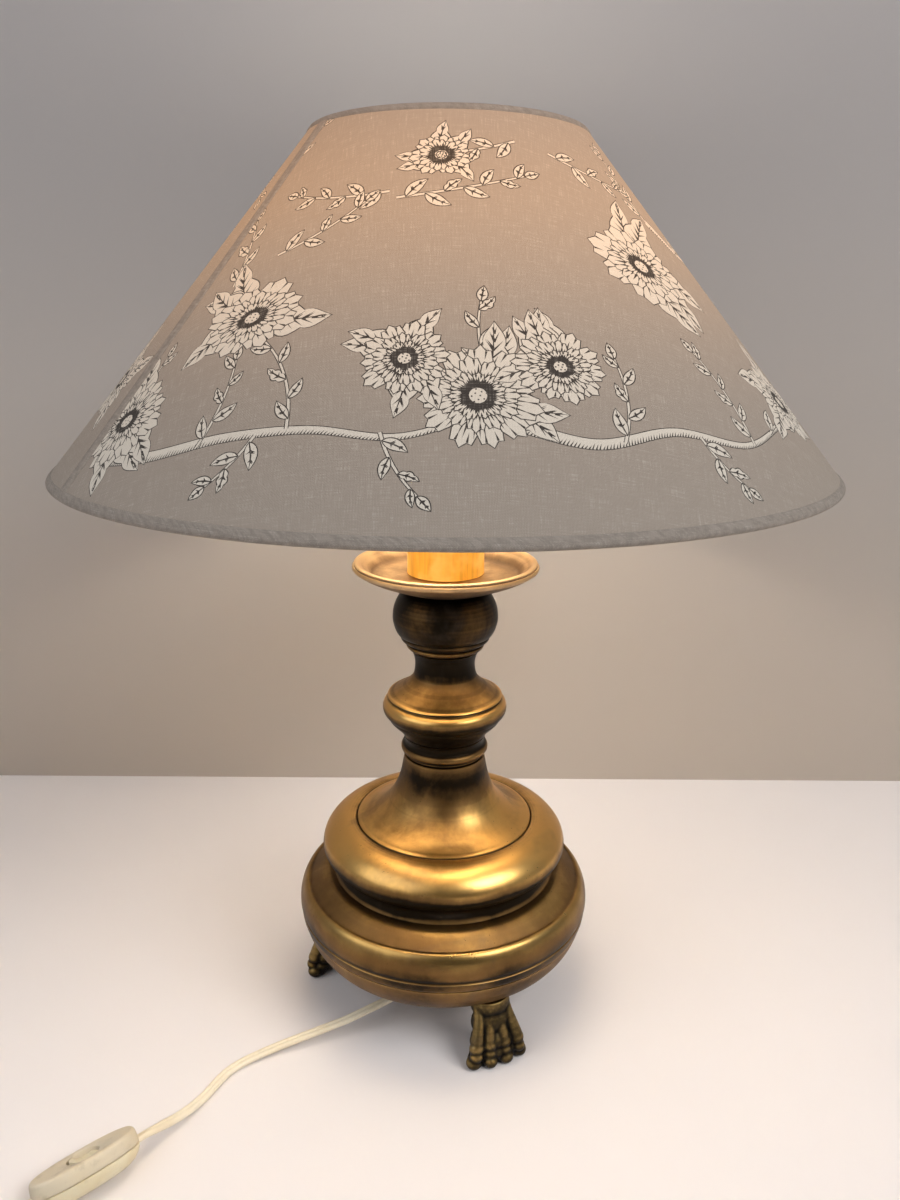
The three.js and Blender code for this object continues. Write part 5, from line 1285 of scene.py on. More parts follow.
def cover_print():
    """The cloth's print: trailing stems, leaf sprays and open blooms of a plain, made-up kind.

    Each starts at an azimuth in degrees from the front and a run in mm down the slope."""
    inner, _, share = shade_flat()
    art = Print(11)

    def at(azimuth, run):
        angle = math.radians(azimuth) * share
        return np.array([math.sin(angle), -math.cos(angle)]) * (inner + run)

    def way(azimuth, degrees):
        """Heading on the flat cut, in degrees from the way round."""
        return math.radians(azimuth) * share + math.radians(degrees)

    stems = [
        [(-52, 212), (-40, 204), (-28, 190), (-17, 184), (-6, 186), (4, 176)],
        [(6, 178), (18, 190), (30, 186), (42, 196), (54, 190)],
        [(58, 66), (66, 84), (78, 92), (90, 110), (99, 132)],
        [(112, 214), (122, 196), (134, 190), (146, 176), (156, 170)],
        [(176, 208), (188, 190), (200, 184), (214, 172), (224, 150)],
        [(238, 214), (250, 196), (262, 192), (276, 176), (290, 178)],
    ]
    for k, places in enumerate(stems):
        art.stem([at(a, s) for a, s in places], 6.4 - 0.6 * (k % 3), 2.0)
    # azimuth, run, heading, length, leaves, bend
    sprays = [
        (-46, 206, 120, 58, 6, -0.6), (-32, 196, 80, 46, 5, 0.5), (-20, 184, 100, 62, 6, 0.9),
        (-24, 188, 250, 30, 4, -0.4), (-8, 184, 290, 34, 4, 0.5), (8, 172, 118, 56, 6, -0.8),
        (22, 190, 60, 44, 5, 0.7), (34, 190, 285, 30, 4, 0.5), (44, 196, 80, 52, 6, 0.6),
        (50, 192, 20, 40, 5, -0.5), (-12, 60, 10, 62, 7, 0.5), (-14, 56, 190, 52, 6, -0.7),
        (-36, 92, 30, 48, 5, 0.6), (-44, 110, 100, 50, 6, 0.5), (58, 66, 100, 44, 5, -0.5),
        (66, 86, 30, 42, 5, 0.6), (30, 30, 330, 46, 5, 0.6), (20, 24, 200, 40, 5, -0.5),
        (84, 150, 70, 56, 6, 0.6), (92, 112, 320, 46, 5, 0.5), (104, 40, 250, 52, 6, 0.6),
        (122, 70, 20, 56, 6, -0.6), (118, 200, 100, 54, 6, -0.6), (138, 186, 60, 50, 6, 0.5),
        (150, 172, 300, 48, 5, 0.5), (152, 62, 160, 56, 6, 0.6), (166, 120, 20, 54, 6, -0.5),
        (182, 198, 110, 56, 6, 0.7), (198, 184, 60, 46, 5, -0.5), (206, 84, 200, 58, 6, 0.6),
        (220, 158, 40, 50, 5, 0.5), (228, 48, 330, 46, 5, 0.6), (242, 206, 110, 54, 6, -0.6),
        (258, 192, 60, 52, 6, 0.6), (262, 96, 150, 56, 6, 0.5), (280, 176, 100, 52, 6, -0.6),
        (288, 60, 240, 48, 5, 0.5), (274, 30, 350, 46, 5, -0.5), (-60, 40, 60, 40, 4, 0.5),
    ]
    for azimuth, run, heading, length, leaves, bend in sprays:
        art.spray(at(azimuth, run), way(azimuth, heading), length, leaves, bend)
    # azimuth, run, size, petals, rings, squash
    blooms = [
        (4, 166, 25, 11, 3, 1.0), (16, 152, 20, 10, 3, 0.9), (-6, 148, 19, 10, 3, 0.95),
        (-34, 128, 27, 8, 3, 0.72), (42, 96, 28, 7, 3, 0.78), (-50, 188, 27, 9, 3, 0.85),
        (64, 178, 27, 9, 3, 0.8), (-2, 34, 14, 7, 2, 0.9), (98, 136, 26, 10, 3, 0.9),
        (110, 178, 20, 8, 3, 1.0), (134, 100, 26, 8, 3, 0.8), (158, 164, 27, 10, 3, 0.9),
        (170, 60, 20, 8, 2, 0.9), (190, 140, 26, 9, 3, 0.85), (222, 190, 25, 9, 3, 0.9),
        (226, 120, 24, 8, 3, 0.8), (246, 150, 20, 8, 3, 1.0), (268, 130, 26, 10, 3, 0.85),
        (292, 168, 24, 9, 3, 0.9), (252, 52, 18, 7, 2, 0.9), (82, 42, 18, 7, 2, 0.9),
    ]
    for azimuth, run, size, petals, rings, squash in blooms:
        place = at(azimuth, run)
        for _ in range(5):
            turn = art.dice.random() * 6.28
            art.leaf(place, turn, size * 1.55, size * 0.62, art.dice.choice((-0.5, 0.5)), 3)
        art.bloom(place, size, petals, rings, art.dice.random(), squash)
    return art.shapes


def print_tile(border, shapes, grid):
    """Triangles of one piece of the flat cut, each with the tone of the last shape that covers it."""
    verts, rings = list(border), [list(range(len(border)))]
    for points, _ in shapes:
        rings.append(list(range(len(verts), len(verts) + len(points))))
        verts.extend(points)
    flat, _, triangles, _, _, origins = delaunay_2d_cdt([Vector(v) for v in verts], [], rings, 0, 1e-4, True)
    tones = [max(covering) if covering else 0 for covering in origins]
    tones = [shapes[top - 1][1] if top > 0 else Print.GROUND for top in tones]
    beside, changes = {}, []
    for triangle, tone in zip(triangles, tones):
        for pair in zip(triangle, triangle[1:] + triangle[:1]):
            pair = tuple(sorted(pair))
            if beside.setdefault(pair, tone) != tone:
                changes.append(pair)
    used = sorted({v for pair in changes for v in pair})
    place = {v: len(border) + k for k, v in enumerate(used)}
    verts = [Vector(v) for v in border] + [flat[v] for v in used] + [Vector(v) for v in grid]
    edges = [(place[v], place[w]) for v, w in changes]
    lean, _, pieces, _, _, inside = delaunay_2d_cdt(verts, edges, rings[:1], 0, 1e-4, True)
    whole = BVHTree.FromPolygons([v.to_3d() for v in flat], triangles)
    kept, marks = [], []
    for triangle, covering in zip(pieces, inside):
        if covering:
            corners = tuple(lean[v] for v in triangle)
            middle = (corners[0] + corners[1] + corners[2]) / 3
            kept.append(corners)
            marks.append(tones[whole.find_nearest(middle.to_3d())[2]])
    return kept, marks


# The cover is cut in sectors, each with a few steps along its edges. Its cut stays inside both rims, in mm.
TILES, TILE_STEPS, GRID_STEP = 48, 5, 16
TOP_MARGIN, LOW_MARGIN = 3.6, 4.2


class LAMP_OT_shade_cover(bpy.types.Operator):
    """Lays the printed cloth on the cone"""

    bl_idname = "lamp.shade_cover"
    bl_label = "Shade Cover"

    def execute(self, context):
        seam = context.scene.lamp_sizes.seam_direction
        inner, outer, share = shade_flat()
        first, last = seam * share, (seam + 2 * math.pi) * share
        middle = (first + last) / 2
        low, high = outer - LOW_MARGIN, inner + TOP_MARGIN
        shapes = []
        for points, tone in cover_print():
            pts = np.array(points)
            rho = np.hypot(pts[:, 0], pts[:, 1])
            if rho.max() < high or rho.min() > low:
                continue
            angle = np.arctan2(pts[:, 0], -pts[:, 1])
            angle = (angle - middle + math.pi) % (2 * math.pi) - math.pi + middle
            if angle.max() - angle.min() < 3:
                shapes.append((angle.min(), angle.max(), points, tone))
        number, coords, faces, tones = {}, [], [], []
        for tile in range(TILES):
            start = first + (last - first) * tile / TILES
            stop = first + (last - first) * (tile + 1) / TILES
            turns = np.linspace(start, stop, TILE_STEPS + 1)
            border = [(math.sin(t) * low, -math.cos(t) * low) for t in turns]
            border += [(math.sin(t) * high, -math.cos(t) * high) for t in turns[::-1]]
            grid = [(math.sin(t) * rho, -math.cos(t) * rho)
                    for t in (turns[1:] + turns[:-1]) / 2 for rho in np.arange(high + 6, low - 3, GRID_STEP)]
            near = [(points, tone) for least, most, points, tone in shapes if least <= stop and most >= start]
            for triangle, tone in zip(*print_tile(border, near, grid)):
                corners = []
                for point in triangle:
                    key = (round(point.x, 3), round(point.y, 3))
                    if key not in number:
                        number[key] = len(coords)
                        coords.append(point)
                    corners.append(number[key])
                if len(set(corners)) == 3:
                    faces.append(corners)
                    tones.append(tone)
        return self.raise_cover(coords, faces, tones, inner, share, first, last)

    def raise_cover(self, coords, faces, tones, inner, share, first, last):
        """Rolls the flat triangles into the cone."""
        middle = (first + last) / 2
        points, normals = [], []
        for co in coords:
            rho = co.length
            angle = math.atan2(co.x, -co.y)
            while angle < middle - math.pi:
                angle += 2 * math.pi
            while angle > middle + math.pi:
                angle -= 2 * math.pi
            azimuth = angle / share
            points.append(cone_point(rho - inner, azimuth))
            tip = cone_point(rho - inner, azimuth, 1.0)
            normals.append((Vector(tip) - Vector(points[-1])).normalized())
        mesh = mesh_of("cover_skin", points, faces, 180)
        if mesh.polygons[0].normal.dot(normals[faces[0][0]]) < 0:
            mesh.flip_normals()
        mesh.normals_split_custom_set_from_vertices([tuple(n) for n in normals])
        mark(mesh, "print_tone", tones, "FACE")
        lay_flat(mesh, [(c.x * MM, c.y * MM) for c in coords])
        add_piece("cover_skin", mesh, SHADE, finish("shade cloth"), ["shade_cover"])
        return {"FINISHED"}


# Hems as how far inside the rim and lift off the cloth in mm, and the seam strip as (across, lift)
LOW_HEM = (
    (5.2, 0.0, "c"), (5.0, 0.32), (4.4, 0.5), (3.4, 0.55), (2, 0.55), (0.3, -0.1), (-0.1, -1.7), (0.6, -3.2),
    (2.2, -4.1), (4.5, -3.9), (7.4, -3.3, "c"), (7.4, -2.6, "c"), (4.4, -3.0), (2.2, -3.1), (1.3, -2.0),
    (2.6, -0.6), (7, -0.5, "c"),
)
TOP_HEM = (
    (4.6, 0.0, "c"), (4.6, -0.5, "c"), (2.8, -0.6), (1.3, -2.0), (2.2, -3.1), (4.4, -3.0), (7.4, -2.6, "c"),
    (7.4, -3.3, "c"), (4.5, -3.9), (2.2, -4.1), (0.6, -3.2), (-0.1, -1.7), (0.3, -0.1), (1.4, 0.55),
    (2.8, 0.6), (3.8, 0.5), (4.4, 0.3),
)
SEAM_STRIP = ((-4.5, 0.02), (-4.2, 0.36), (-2, 0.42), (0, 0.44), (2, 0.42), (4.2, 0.36), (4.5, 0.02))
LINING_LIFT, LINING_INSIDE = -0.75, -1.25

# The shade's carrying frame in mm: arm as (radius, height), fitter washer, and the upper wire ring
SHADE_FRAME = ["shade_fitter", "shade_top_wire", "shade_arm_back", "shade_arm_left", "shade_arm_right"]
ARM_PATH = [(28.4, 443.6), (38, 453.4), (52, 475), (64, 508), (70.6, 533), (73.6, 540.6)]
ARM_DIRECTIONS, ARM_RADIUS = (90, 210, 330), 1.7
FITTER = [
    (20, 442.7, "c"), (29.6, 442.7), (30, 443.2), (30, 444), (29.6, 444.5), (20.4, 444.5), (20, 444.1, "c"),
]
WIRE_RING, WIRE_HEIGHT, WIRE_RADIUS = 74.3, 542.1, 1.5


def band_mesh(name, line, sides=240, corner=50):
    """Turned strip of cloth with flat coordinates for its weave; line is its closed outline."""
    mesh = turned_mesh(name, line, sides, 0.8, corner)
    place = read_all(mesh.vertices, "co")
    around = np.arctan2(place[:, 1], place[:, 0]) * np.hypot(place[:, 0], place[:, 1])
    along = np.arange(len(place)) // sides * 0.0008
    lay_flat(mesh, np.stack([around, along], axis=1))
    return mesh


def seam_mesh(slant):
    """Strip of cloth that covers the cover's glued seam."""
    direction = bpy.context.scene.lamp_sizes.seam_direction
    runs, wide = np.linspace(TOP_MARGIN, slant - LOW_MARGIN, 60), len(SEAM_STRIP)
    points = []
    for run in runs:
        radius = math.hypot(*cone_point(run, 0.0)[:2])
        points += [cone_point(run, direction + across / radius, lift) for across, lift in SEAM_STRIP]
    faces = [(a, a + wide, a + wide + 1, a + 1)
             for k in range(len(runs) - 1) for a in range(k * wide, (k + 1) * wide - 1)]
    mesh = mesh_of("seam_strip", points, faces, 60)
    lay_flat(mesh, [(j * 1.4 * MM, k * 4.0 * MM) for k in range(len(runs)) for j in range(wide)])
    return mesh


def frame_mesh():
    """The shade's arms, upper wire ring and fitter washer as one mesh."""
    rods = []
    for azimuth in ARM_DIRECTIONS:
        a = math.radians(azimuth)
        path = [(r * math.cos(a), r * math.sin(a), z) for r, z in smooth_through(ARM_PATH, 2.0)]
        rods.append(rod_mesh("arm", path, ARM_RADIUS, 14))
    ring = [(WIRE_RING + WIRE_RADIUS * math.cos(t), WIRE_HEIGHT + WIRE_RADIUS * math.sin(t))
            for t in np.linspace(0, 2 * math.pi, 12, endpoint=False)]
    rods.append(turned_mesh("wire", [(*ring[0], "c")] + ring[1:], 144, 0.7, 60))
    rods.append(turned_mesh("fitter", FITTER, 96, 0.6))
    return merged("frame_skin", rods)


class LAMP_OT_shade_trim(bpy.types.Operator):
    """Adds the shade's hems, seam strip, backing and carrying frame"""

    bl_idname = "lamp.shade_trim"
    bl_label = "Shade Hems, Backing and Frame"

    def execute(self, context):
        inner, outer, share = shade_flat()
        slant = outer - inner

        def on(run, lift, *corner):
            _, y, z = cone_point(run, 0.0, lift)
            return (-y, z, *corner)

        low_hem = [on(slant - inside, *rest) for inside, *rest in LOW_HEM]
        top_hem = [on(inside, *rest) for inside, *rest in TOP_HEM]
        for name, line in (("lower_hem", low_hem), ("upper_hem", top_hem)):
            mesh = band_mesh(name, line[::-1])
            add_piece(name, mesh, SHADE, finish("shade hem"))
        add_piece("seam_strip", seam_mesh(slant), SHADE, finish("shade seam"))
        lining = [
            on(5, LINING_LIFT, "c"), on(5, LINING_INSIDE, "c"), on(60, LINING_INSIDE), on(150, LINING_INSIDE),
            on(slant - 6, LINING_INSIDE, "c"), on(slant - 6, LINING_LIFT, "c"), on(150, LINING_LIFT),
            on(60, LINING_LIFT),
        ]
        mesh = turned_mesh("lining_skin", lining, 240, 9, 50)
        add_piece("lining_skin", mesh, SHADE, finish("shade lining"), ["shade_backing"])
        add_piece("frame_skin", frame_mesh(), SHADE, finish("frame white"), SHADE_FRAME)
        return {"FINISHED"}


# ---------------------------------------------------------------- lead, switch and plug

def coil_point(turns):
    """Place of the lead's middle line in mm, so many turns into the coil."""
    layer_turns = (COIL_TURNS - COIL_CLIMB) / 2
    outer, inner = COIL_RADIUS + layer_turns * COIL_PITCH / 2, COIL_RADIUS - layer_turns * COIL_PITCH / 2
    radius, height = outer - COIL_PITCH * turns, COIL_LOW
    if turns > layer_turns:
        part = min((turns - layer_turns) / COIL_CLIMB, 1)
        back = abs(part - 0.5) * 2
        radius = inner - COIL_PITCH * COIL_CLIMB * 0.5 * (1 - back ** 2)
        height = COIL_LOW + COIL_LAYER * ((1 - math.cos(math.pi * part)) / 2 if part < 1 else 1)
    if turns > layer_turns + COIL_CLIMB:
        radius = inner + COIL_PITCH * (turns - layer_turns - COIL_CLIMB)
    angle = math.radians(COIL_START) + 2 * math.pi * turns
    return np.array([*(np.array(COIL_CENTRE) + radius * unit(angle)), height])


def level_way(step):
    """Level direction of a step."""
    level = np.array([step[0], step[1], 0.0])
    return level / np.linalg.norm(level)


def lead_route():
    """The lead's middle line in mm, its roll at each point, and the plug's place and heading."""
    port_out = SWITCH_PLACE @ Vector((28.9, 0, SWITCH_SEAM))
    port_in = SWITCH_PLACE @ Vector((-28.9, 0, SWITCH_SEAM))
    way = (SWITCH_PLACE.to_3x3() @ Vector((1, 0, 0))).normalized()
    count = round(COIL_TURNS * 24)
    coil = [coil_point(k * COIL_TURNS / count) for k in range(count + 1)]
    start_way, end_way = level_way(coil[1] - coil[0]), level_way(coil[-1] - coil[-2])
    lead_in = [coil[0] - start_way * 6.2 * k for k in (3, 2, 1)]
    low = coil[-1][2] - 7
    drop = [coil[-1] + end_way * 24 * k / 6 - np.array([0, 0, low * (1 - math.cos(math.pi * k / 6)) / 2])
            for k in range(1, 7)]
    drop += [drop[-1] + end_way * 3.1, drop[-1] + end_way * 6.2]
    head = [Vector(BUSH_MOUTH) + BUSH_HEADING * d for d in (0.0, 4.3)]
    points = [*map(tuple, head), *RUN_POINTS, tuple(port_out + way * 3), tuple(port_out), tuple(port_in),
              tuple(port_in - way * 3), *TAIL_POINTS, *map(tuple, lead_in), *map(tuple, coil),
              *map(tuple, drop)]
    fine = smooth_through(points, 2.4)
    run = np.concatenate([[0], np.cumsum(np.linalg.norm(np.diff(fine, axis=0), axis=1))])

    def near(place):
        return run[np.argmin(np.linalg.norm(fine - np.array(place), axis=1))]

    turn_from, turn_to = near(tuple(port_in - way * 6)), near(tuple(lead_in[1]))
    back_from, back_to = near(tuple(coil[-1])), run[-1]
    switch_from, switch_to = near(tuple(port_out + way * 18)), near(tuple(port_out + way * 2))
    roll = np.interp(run, [turn_from, turn_to, back_from + 4, back_to - 4], [0, 1, 1, 0]) * math.pi / 2
    lean = np.interp(run, [switch_from, switch_to, turn_from, turn_from + 10], [0, 1, 1, 0]) * SWITCH_LEAN
    return fine, roll + lean, drop[-1], end_way


class LAMP_OT_lead(bpy.types.Operator):
    """Runs the flat twin lead from the bush through the switch and the coil to the plug"""

    bl_idname = "lamp.lead"
    bl_label = "Lead, Bush, Coil and Tie"

    def execute(self, context):
        size = context.scene.lamp_sizes
        path, roll, _, _ = lead_route()
        ways = directions(path)
        half, core = size.cord_width / MM / 2, size.cord_thickness / MM / 2
        section = []
        for side, start in ((1, -90), (-1, 90)):
            for k in range(9):
                turn = math.radians(start + 180 * k / 8)
                section.append((side * (half - core) + core * math.cos(turn), core * math.sin(turn)))
            section.append((side * 0.55, side * core * 0.93) if side > 0 else (-0.55, -core * 0.93))
            section.append((0.0, side * core * 0.72))
            section.append((-side * 0.55, side * core * 0.93))

        def axes(i):
            way = Vector(ways[i])
            across = way.cross(Vector((0, 0, 1))).normalized()
            up = across.cross(way)
            c, s = math.cos(roll[i]), math.sin(roll[i])
            return across * c + up * s, up * c - across * s

        mesh = swept_mesh("lead_skin", path, section, axes, corner=60)
        add_piece("lead_skin", mesh, STAND, finish("ivory lead"),
                  ["cord_run", "cord_tail", "cord_coil"])
        depths = np.linspace(0, 26, 27)
        bush = [tuple(Vector(BUSH_MOUTH) - BUSH_HEADING * d) for d in depths]
        radii = [4.2 + 2.2 * (d / 26) ** 1.2 + (0.45 if 3 < d < 20 and d % 3 < 1.5 else 0) for d in depths]
        add_piece("bush_skin", rod_mesh("bush_skin", bush, radii, 28), STAND, finish("ivory lead"),
                  ["cord_bush"])
        add_piece("tie_skin", self.tie_mesh(), STAND, finish("black tie"), ["cord_tie"])
        return {"FINISHED"}

    def tie_mesh(self):
        """Flat wire tie round the coil's turns."""
        layer_turns = (COIL_TURNS - COIL_CLIMB) / 2
        inner = COIL_RADIUS - layer_turns * COIL_PITCH / 2 - COIL_PITCH * 0.25 - 2.6
        outer = COIL_RADIUS + layer_turns * COIL_PITCH / 2 + 2.6
        low, high = 0.55, COIL_LOW + COIL_LAYER + 4.1
        corner = 2.2
        loop = []
        for (x, z), start in (((outer - corner, low + corner), -90), ((outer - corner, high - corner), 0),
                              ((inner + corner, high - corner), 90), ((inner + corner, low + corner), 180)):
            for k in range(6):
                turn = math.radians(start + 90 * k / 5)
                loop.append((x + corner * math.cos(turn), z + corner * math.sin(turn)))
        points, faces = [], []
        count = len(loop)
        middle = np.mean(loop, axis=0)
        for half in (-2.4, -1.6, 1.6, 2.4):
            for lift in (0.0, 0.7):
                for x, z in loop:
                    out = np.array([x, z]) - middle
                    out /= np.linalg.norm(out)
                    edge = lift if abs(half) < 2 else lift * 0.5 + 0.18
                    points.append((x + out[0] * (edge - 0.35), half, z + out[1] * (edge - 0.35)))
        rows = [0, 2, 4, 6, 7, 5, 3, 1]
        for a, b in zip(rows, rows[1:] + rows[:1]):
            for k in range(count):
                n = (k + 1) % count
                faces.append((a * count + k, b * count + k, b * count + n, a * count + n))
        mesh = turn_out(mesh_of("tie_skin", points, faces, 50), 50)
        return moved(mesh, Matrix.Translation((*COIL_CENTRE, 0)) @ Matrix.Rotation(math.radians(30), 4, "Z"))


def oval(length, width, count=72, power=2.4):
    """Outline with full sides."""
    line = []
    for c, s in circle(1, count):
        line.append((math.copysign(abs(c) ** (2 / power) * length / 2, c),
                     math.copysign(abs(s) ** (2 / power) * width / 2, s)))
    return line


def stacked_mesh(name, levels, corner=40):
    """Closed mesh from outlines (points, height) stacked in mm."""
    points = [(x, y, z) for line, z in levels for x, y in line]
    return mesh_of(name, points, capped_faces(len(levels), len(levels[0][0])), corner)


# The switch in mm about its own middle: shells as (growth past its size, height) or (length, width, height)
SWITCH_LENGTH, SWITCH_WIDTH, WELL_RADIUS, ROCKER_RADIUS, ROCKER_PIN = 56, 25, 8.7, 7.85, -5.2
TOP_SHELL = (
    (-3.2, 0.0), (-1.6, -0.18), (-0.4, -0.75), (0.35, -1.8), (0.85, -3.6), (1.25, -6.4), (1.3, -7.5),
    (0.9, -7.75), (-1.0, -7.75),
)
BASE_SHELL_LEVELS = (
    (40, 15, -16.4), (44, 18, -16.2), (50, 21.4, -14.6), (54, 23.6, -12.6), (56.2, 25.2, -10.8),
    (57, 26, -9.2), (57.1, 26.1, -8.5), (56.4, 25.4, -8.2), (54, 23, -8.2),
)


class LAMP_OT_switch(bpy.types.Operator):
    """Moulds the inline switch: two shells, the round well and the rocker"""

    bl_idname = "lamp.switch"
    bl_label = "Inline Switch"

    def execute(self, context):
        count = 96
        well = [(share * WELL_RADIUS, height) for share, height in (
            (0.02, -9.2), (0.985, -9.2), (0.985, -8.0), (1, -0.6), (1.09, -0.05))]
        levels = [(circle(radius, count), height) for radius, height in well]
        levels += [(oval(SWITCH_LENGTH + more, SWITCH_WIDTH + more, count), height)
                   for more, height in TOP_SHELL]
        mesh = stacked_mesh("switch_top_skin", levels[::-1], 42)
        self.add(mesh, "switch_drab", "switch_top")
        levels = [(oval(long, wide, count), height) for long, wide, height in BASE_SHELL_LEVELS]
        self.add(stacked_mesh("switch_base_skin", levels, 42), "switch_cream", "switch_base")
        tilt = (Matrix.Translation((0, 0, ROCKER_PIN)) @ Matrix.Rotation(math.radians(9), 4, "Y")
                @ Matrix.Translation((0, 0, -ROCKER_PIN)))
        self.add(self.rocker_mesh(count), "switch_cream", "switch_rocker", ROCKER, tilt)
        return {"FINISHED"}

    @staticmethod
    def add(mesh, slot, node, body=STAND, tilt=Matrix()):
        """Lays a piece of the switch in its place on the table."""
        moved(turn_out(mesh), SWITCH_PLACE @ tilt)
        add_piece(mesh.name, mesh, body, finish(slot.replace("_", " ")), [node])

    @staticmethod
    def rocker_mesh(count):
        """Round rocker with a dip across its middle and ribs for the finger."""
        rings = 14
        points = [(0.0, 0.0, -3.0)]
        for r in range(1, rings + 1):
            radius = ROCKER_RADIUS * r / rings
            for k in range(count):
                a = 2 * math.pi * k / count
                x, y = radius * math.cos(a), radius * math.sin(a)
                z = -3.0 + 1.9 * min(abs(x) / 5.6, 1) ** 1.6 + 0.12 * math.cos(x * 2.6) * (abs(x) > 2.5)
                if r == rings:
                    z -= 0.25
                points.append((x, y, z))
        faces = [(0, 1 + k, 1 + (k + 1) % count) for k in range(count)]
        for r in range(rings - 1):
            for k in range(count):
                n = (k + 1) % count
                a, b = 1 + r * count, 1 + (r + 1) * count
                faces.append((a + k, b + k, b + n, a + n))
        low = len(points)
        for k in range(count):
            a = 2 * math.pi * k / count
            points.append((ROCKER_RADIUS * math.cos(a), ROCKER_RADIUS * math.sin(a), -4.4))
        last = 1 + (rings - 1) * count
        for k in range(count):
            n = (k + 1) % count
            faces.append((last + k, low + k, low + n, last + n))
        faces.append(tuple(range(low, low + count)))
        return mesh_of("rocker_skin", points, faces, 42)


PLUG_SECTIONS = (  # along, half width and half height in mm
    (0, 4.6, 4.4), (0.6, 5.2, 5.0), (3, 5.4, 5.2), (3.4, 4.9, 4.7), (4.4, 4.9, 4.7), (4.8, 5.7, 5.4),
    (7, 6.2, 5.8), (10, 7.2, 6.3), (13, 9.6, 6.7), (16, 11.8, 6.9), (19, 12.9, 7), (24, 13, 7), (34, 12.7, 7),
    (35.4, 12.2, 6.6), (36, 11.4, 5.8),
)


class LAMP_OT_plug(bpy.types.Operator):
    bl_idname = "lamp.plug"
    bl_label = "Plug"

    def execute(self, context):
        path, _, end, way = lead_route()
        turn = math.atan2(way[1], way[0])
        place = Matrix.Translation((end[0] + way[0] * 0.3, end[1] + way[1] * 0.3, 7))
        place = place @ Matrix.Rotation(turn, 4, "Z")
        points = [(along, math.copysign(abs(c) ** 0.62 * wide, c), math.copysign(abs(s) ** 0.62 * high, s))
                  for along, wide, high in PLUG_SECTIONS for c, s in circle(1, 64)]
        mesh = turn_out(mesh_of("plug_skin", points, capped_faces(len(PLUG_SECTIONS), 64), 40))
        add_piece("plug_skin", moved(mesh, place), STAND, finish("ivory lead"), ["plug_body"])
        names = ["bush_skin", "tie_skin", "switch_top_skin", "switch_base_skin", "rocker_skin", "plug_skin"]
        nodes = {
            "plug_pin_left", "plug_pin_right", "switch_screw_near", "switch_screw_far", "rocker_pin",
            "switch_contacts",
        }
        riders = [bpy.data.objects[n] for n in names]
        riders += [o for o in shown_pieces() if o.get("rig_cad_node") in nodes]
        return {"FINISHED"}


# ---------------------------------------------------------------- stage

def table_finish():
    """Off-white satin table top."""
    material, tree, shader = new_material("table top")
    where = object_place(tree)
    cloud = noise(tree, where, 3, 2)
    colour = blend_colours(tree, cloud, (0.80, 0.755, 0.735), (0.84, 0.79, 0.77))
    feed(tree, shader.inputs["Base Color"], colour)
    shader.inputs["Roughness"].default_value = 0.55
    return material


def wall_finish():
    """Painted wall, lighter and warmer towards the table as painted lamplight, and clear from behind."""
    material, tree, shader = new_material("painted wall")
    # Painted lamplight: lighter and warmer low down, darker higher up.
    share = ramp(tree, axis_of(tree, object_place(tree), "Z"), 0.0, 0.75)
    colour = blend_colours(tree, share, (0.45, 0.395, 0.335), (0.33, 0.312, 0.305))
    feed(tree, shader.inputs["Base Color"], colour)
    shader.inputs["Roughness"].default_value = 0.9
    clear = node_at(tree, "ShaderNodeBsdfTransparent")
    mix = node_at(tree, "ShaderNodeMixShader")
    behind = node_at(tree, "ShaderNodeNewGeometry").outputs["Backfacing"]
    feed(tree, mix.inputs["Fac"], behind)
    tree.links.new(shader.outputs["BSDF"], mix.inputs[1])
    tree.links.new(clear.outputs["BSDF"], mix.inputs[2])
    output = next(n for n in tree.nodes if n.type == "OUTPUT_MATERIAL")
    tree.links.new(mix.outputs["Shader"], output.inputs["Surface"])
    return material


def stage_plane(name, corners, material):
    mesh = bpy.data.meshes.new(name)
    mesh.from_pydata(corners, [], [(0, 1, 2, 3)])
    mesh.materials.append(material)
    plane = bpy.data.objects.new(name, mesh)
    collection().objects.link(plane)
    plane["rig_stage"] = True


def soft_light(name, place, aim, size, power, colour):
    light = bpy.data.lights.new(name, "AREA")
    light.shape = "RECTANGLE"
    light.size, light.size_y = size
    light.energy, light.color = power, colour
    lamp = bpy.data.objects.new(name, light)
    lamp.location = place
    lamp.rotation_euler = (Vector(aim) - Vector(place)).to_track_quat("-Z", "Y").to_euler()
    collection().objects.link(lamp)


# The bulb's light is a little wider than the glass, which would shut in a smaller one
BULB_MIDDLE, BULB_LIGHT_RADIUS = (0, 0, 0.5055), 0.032


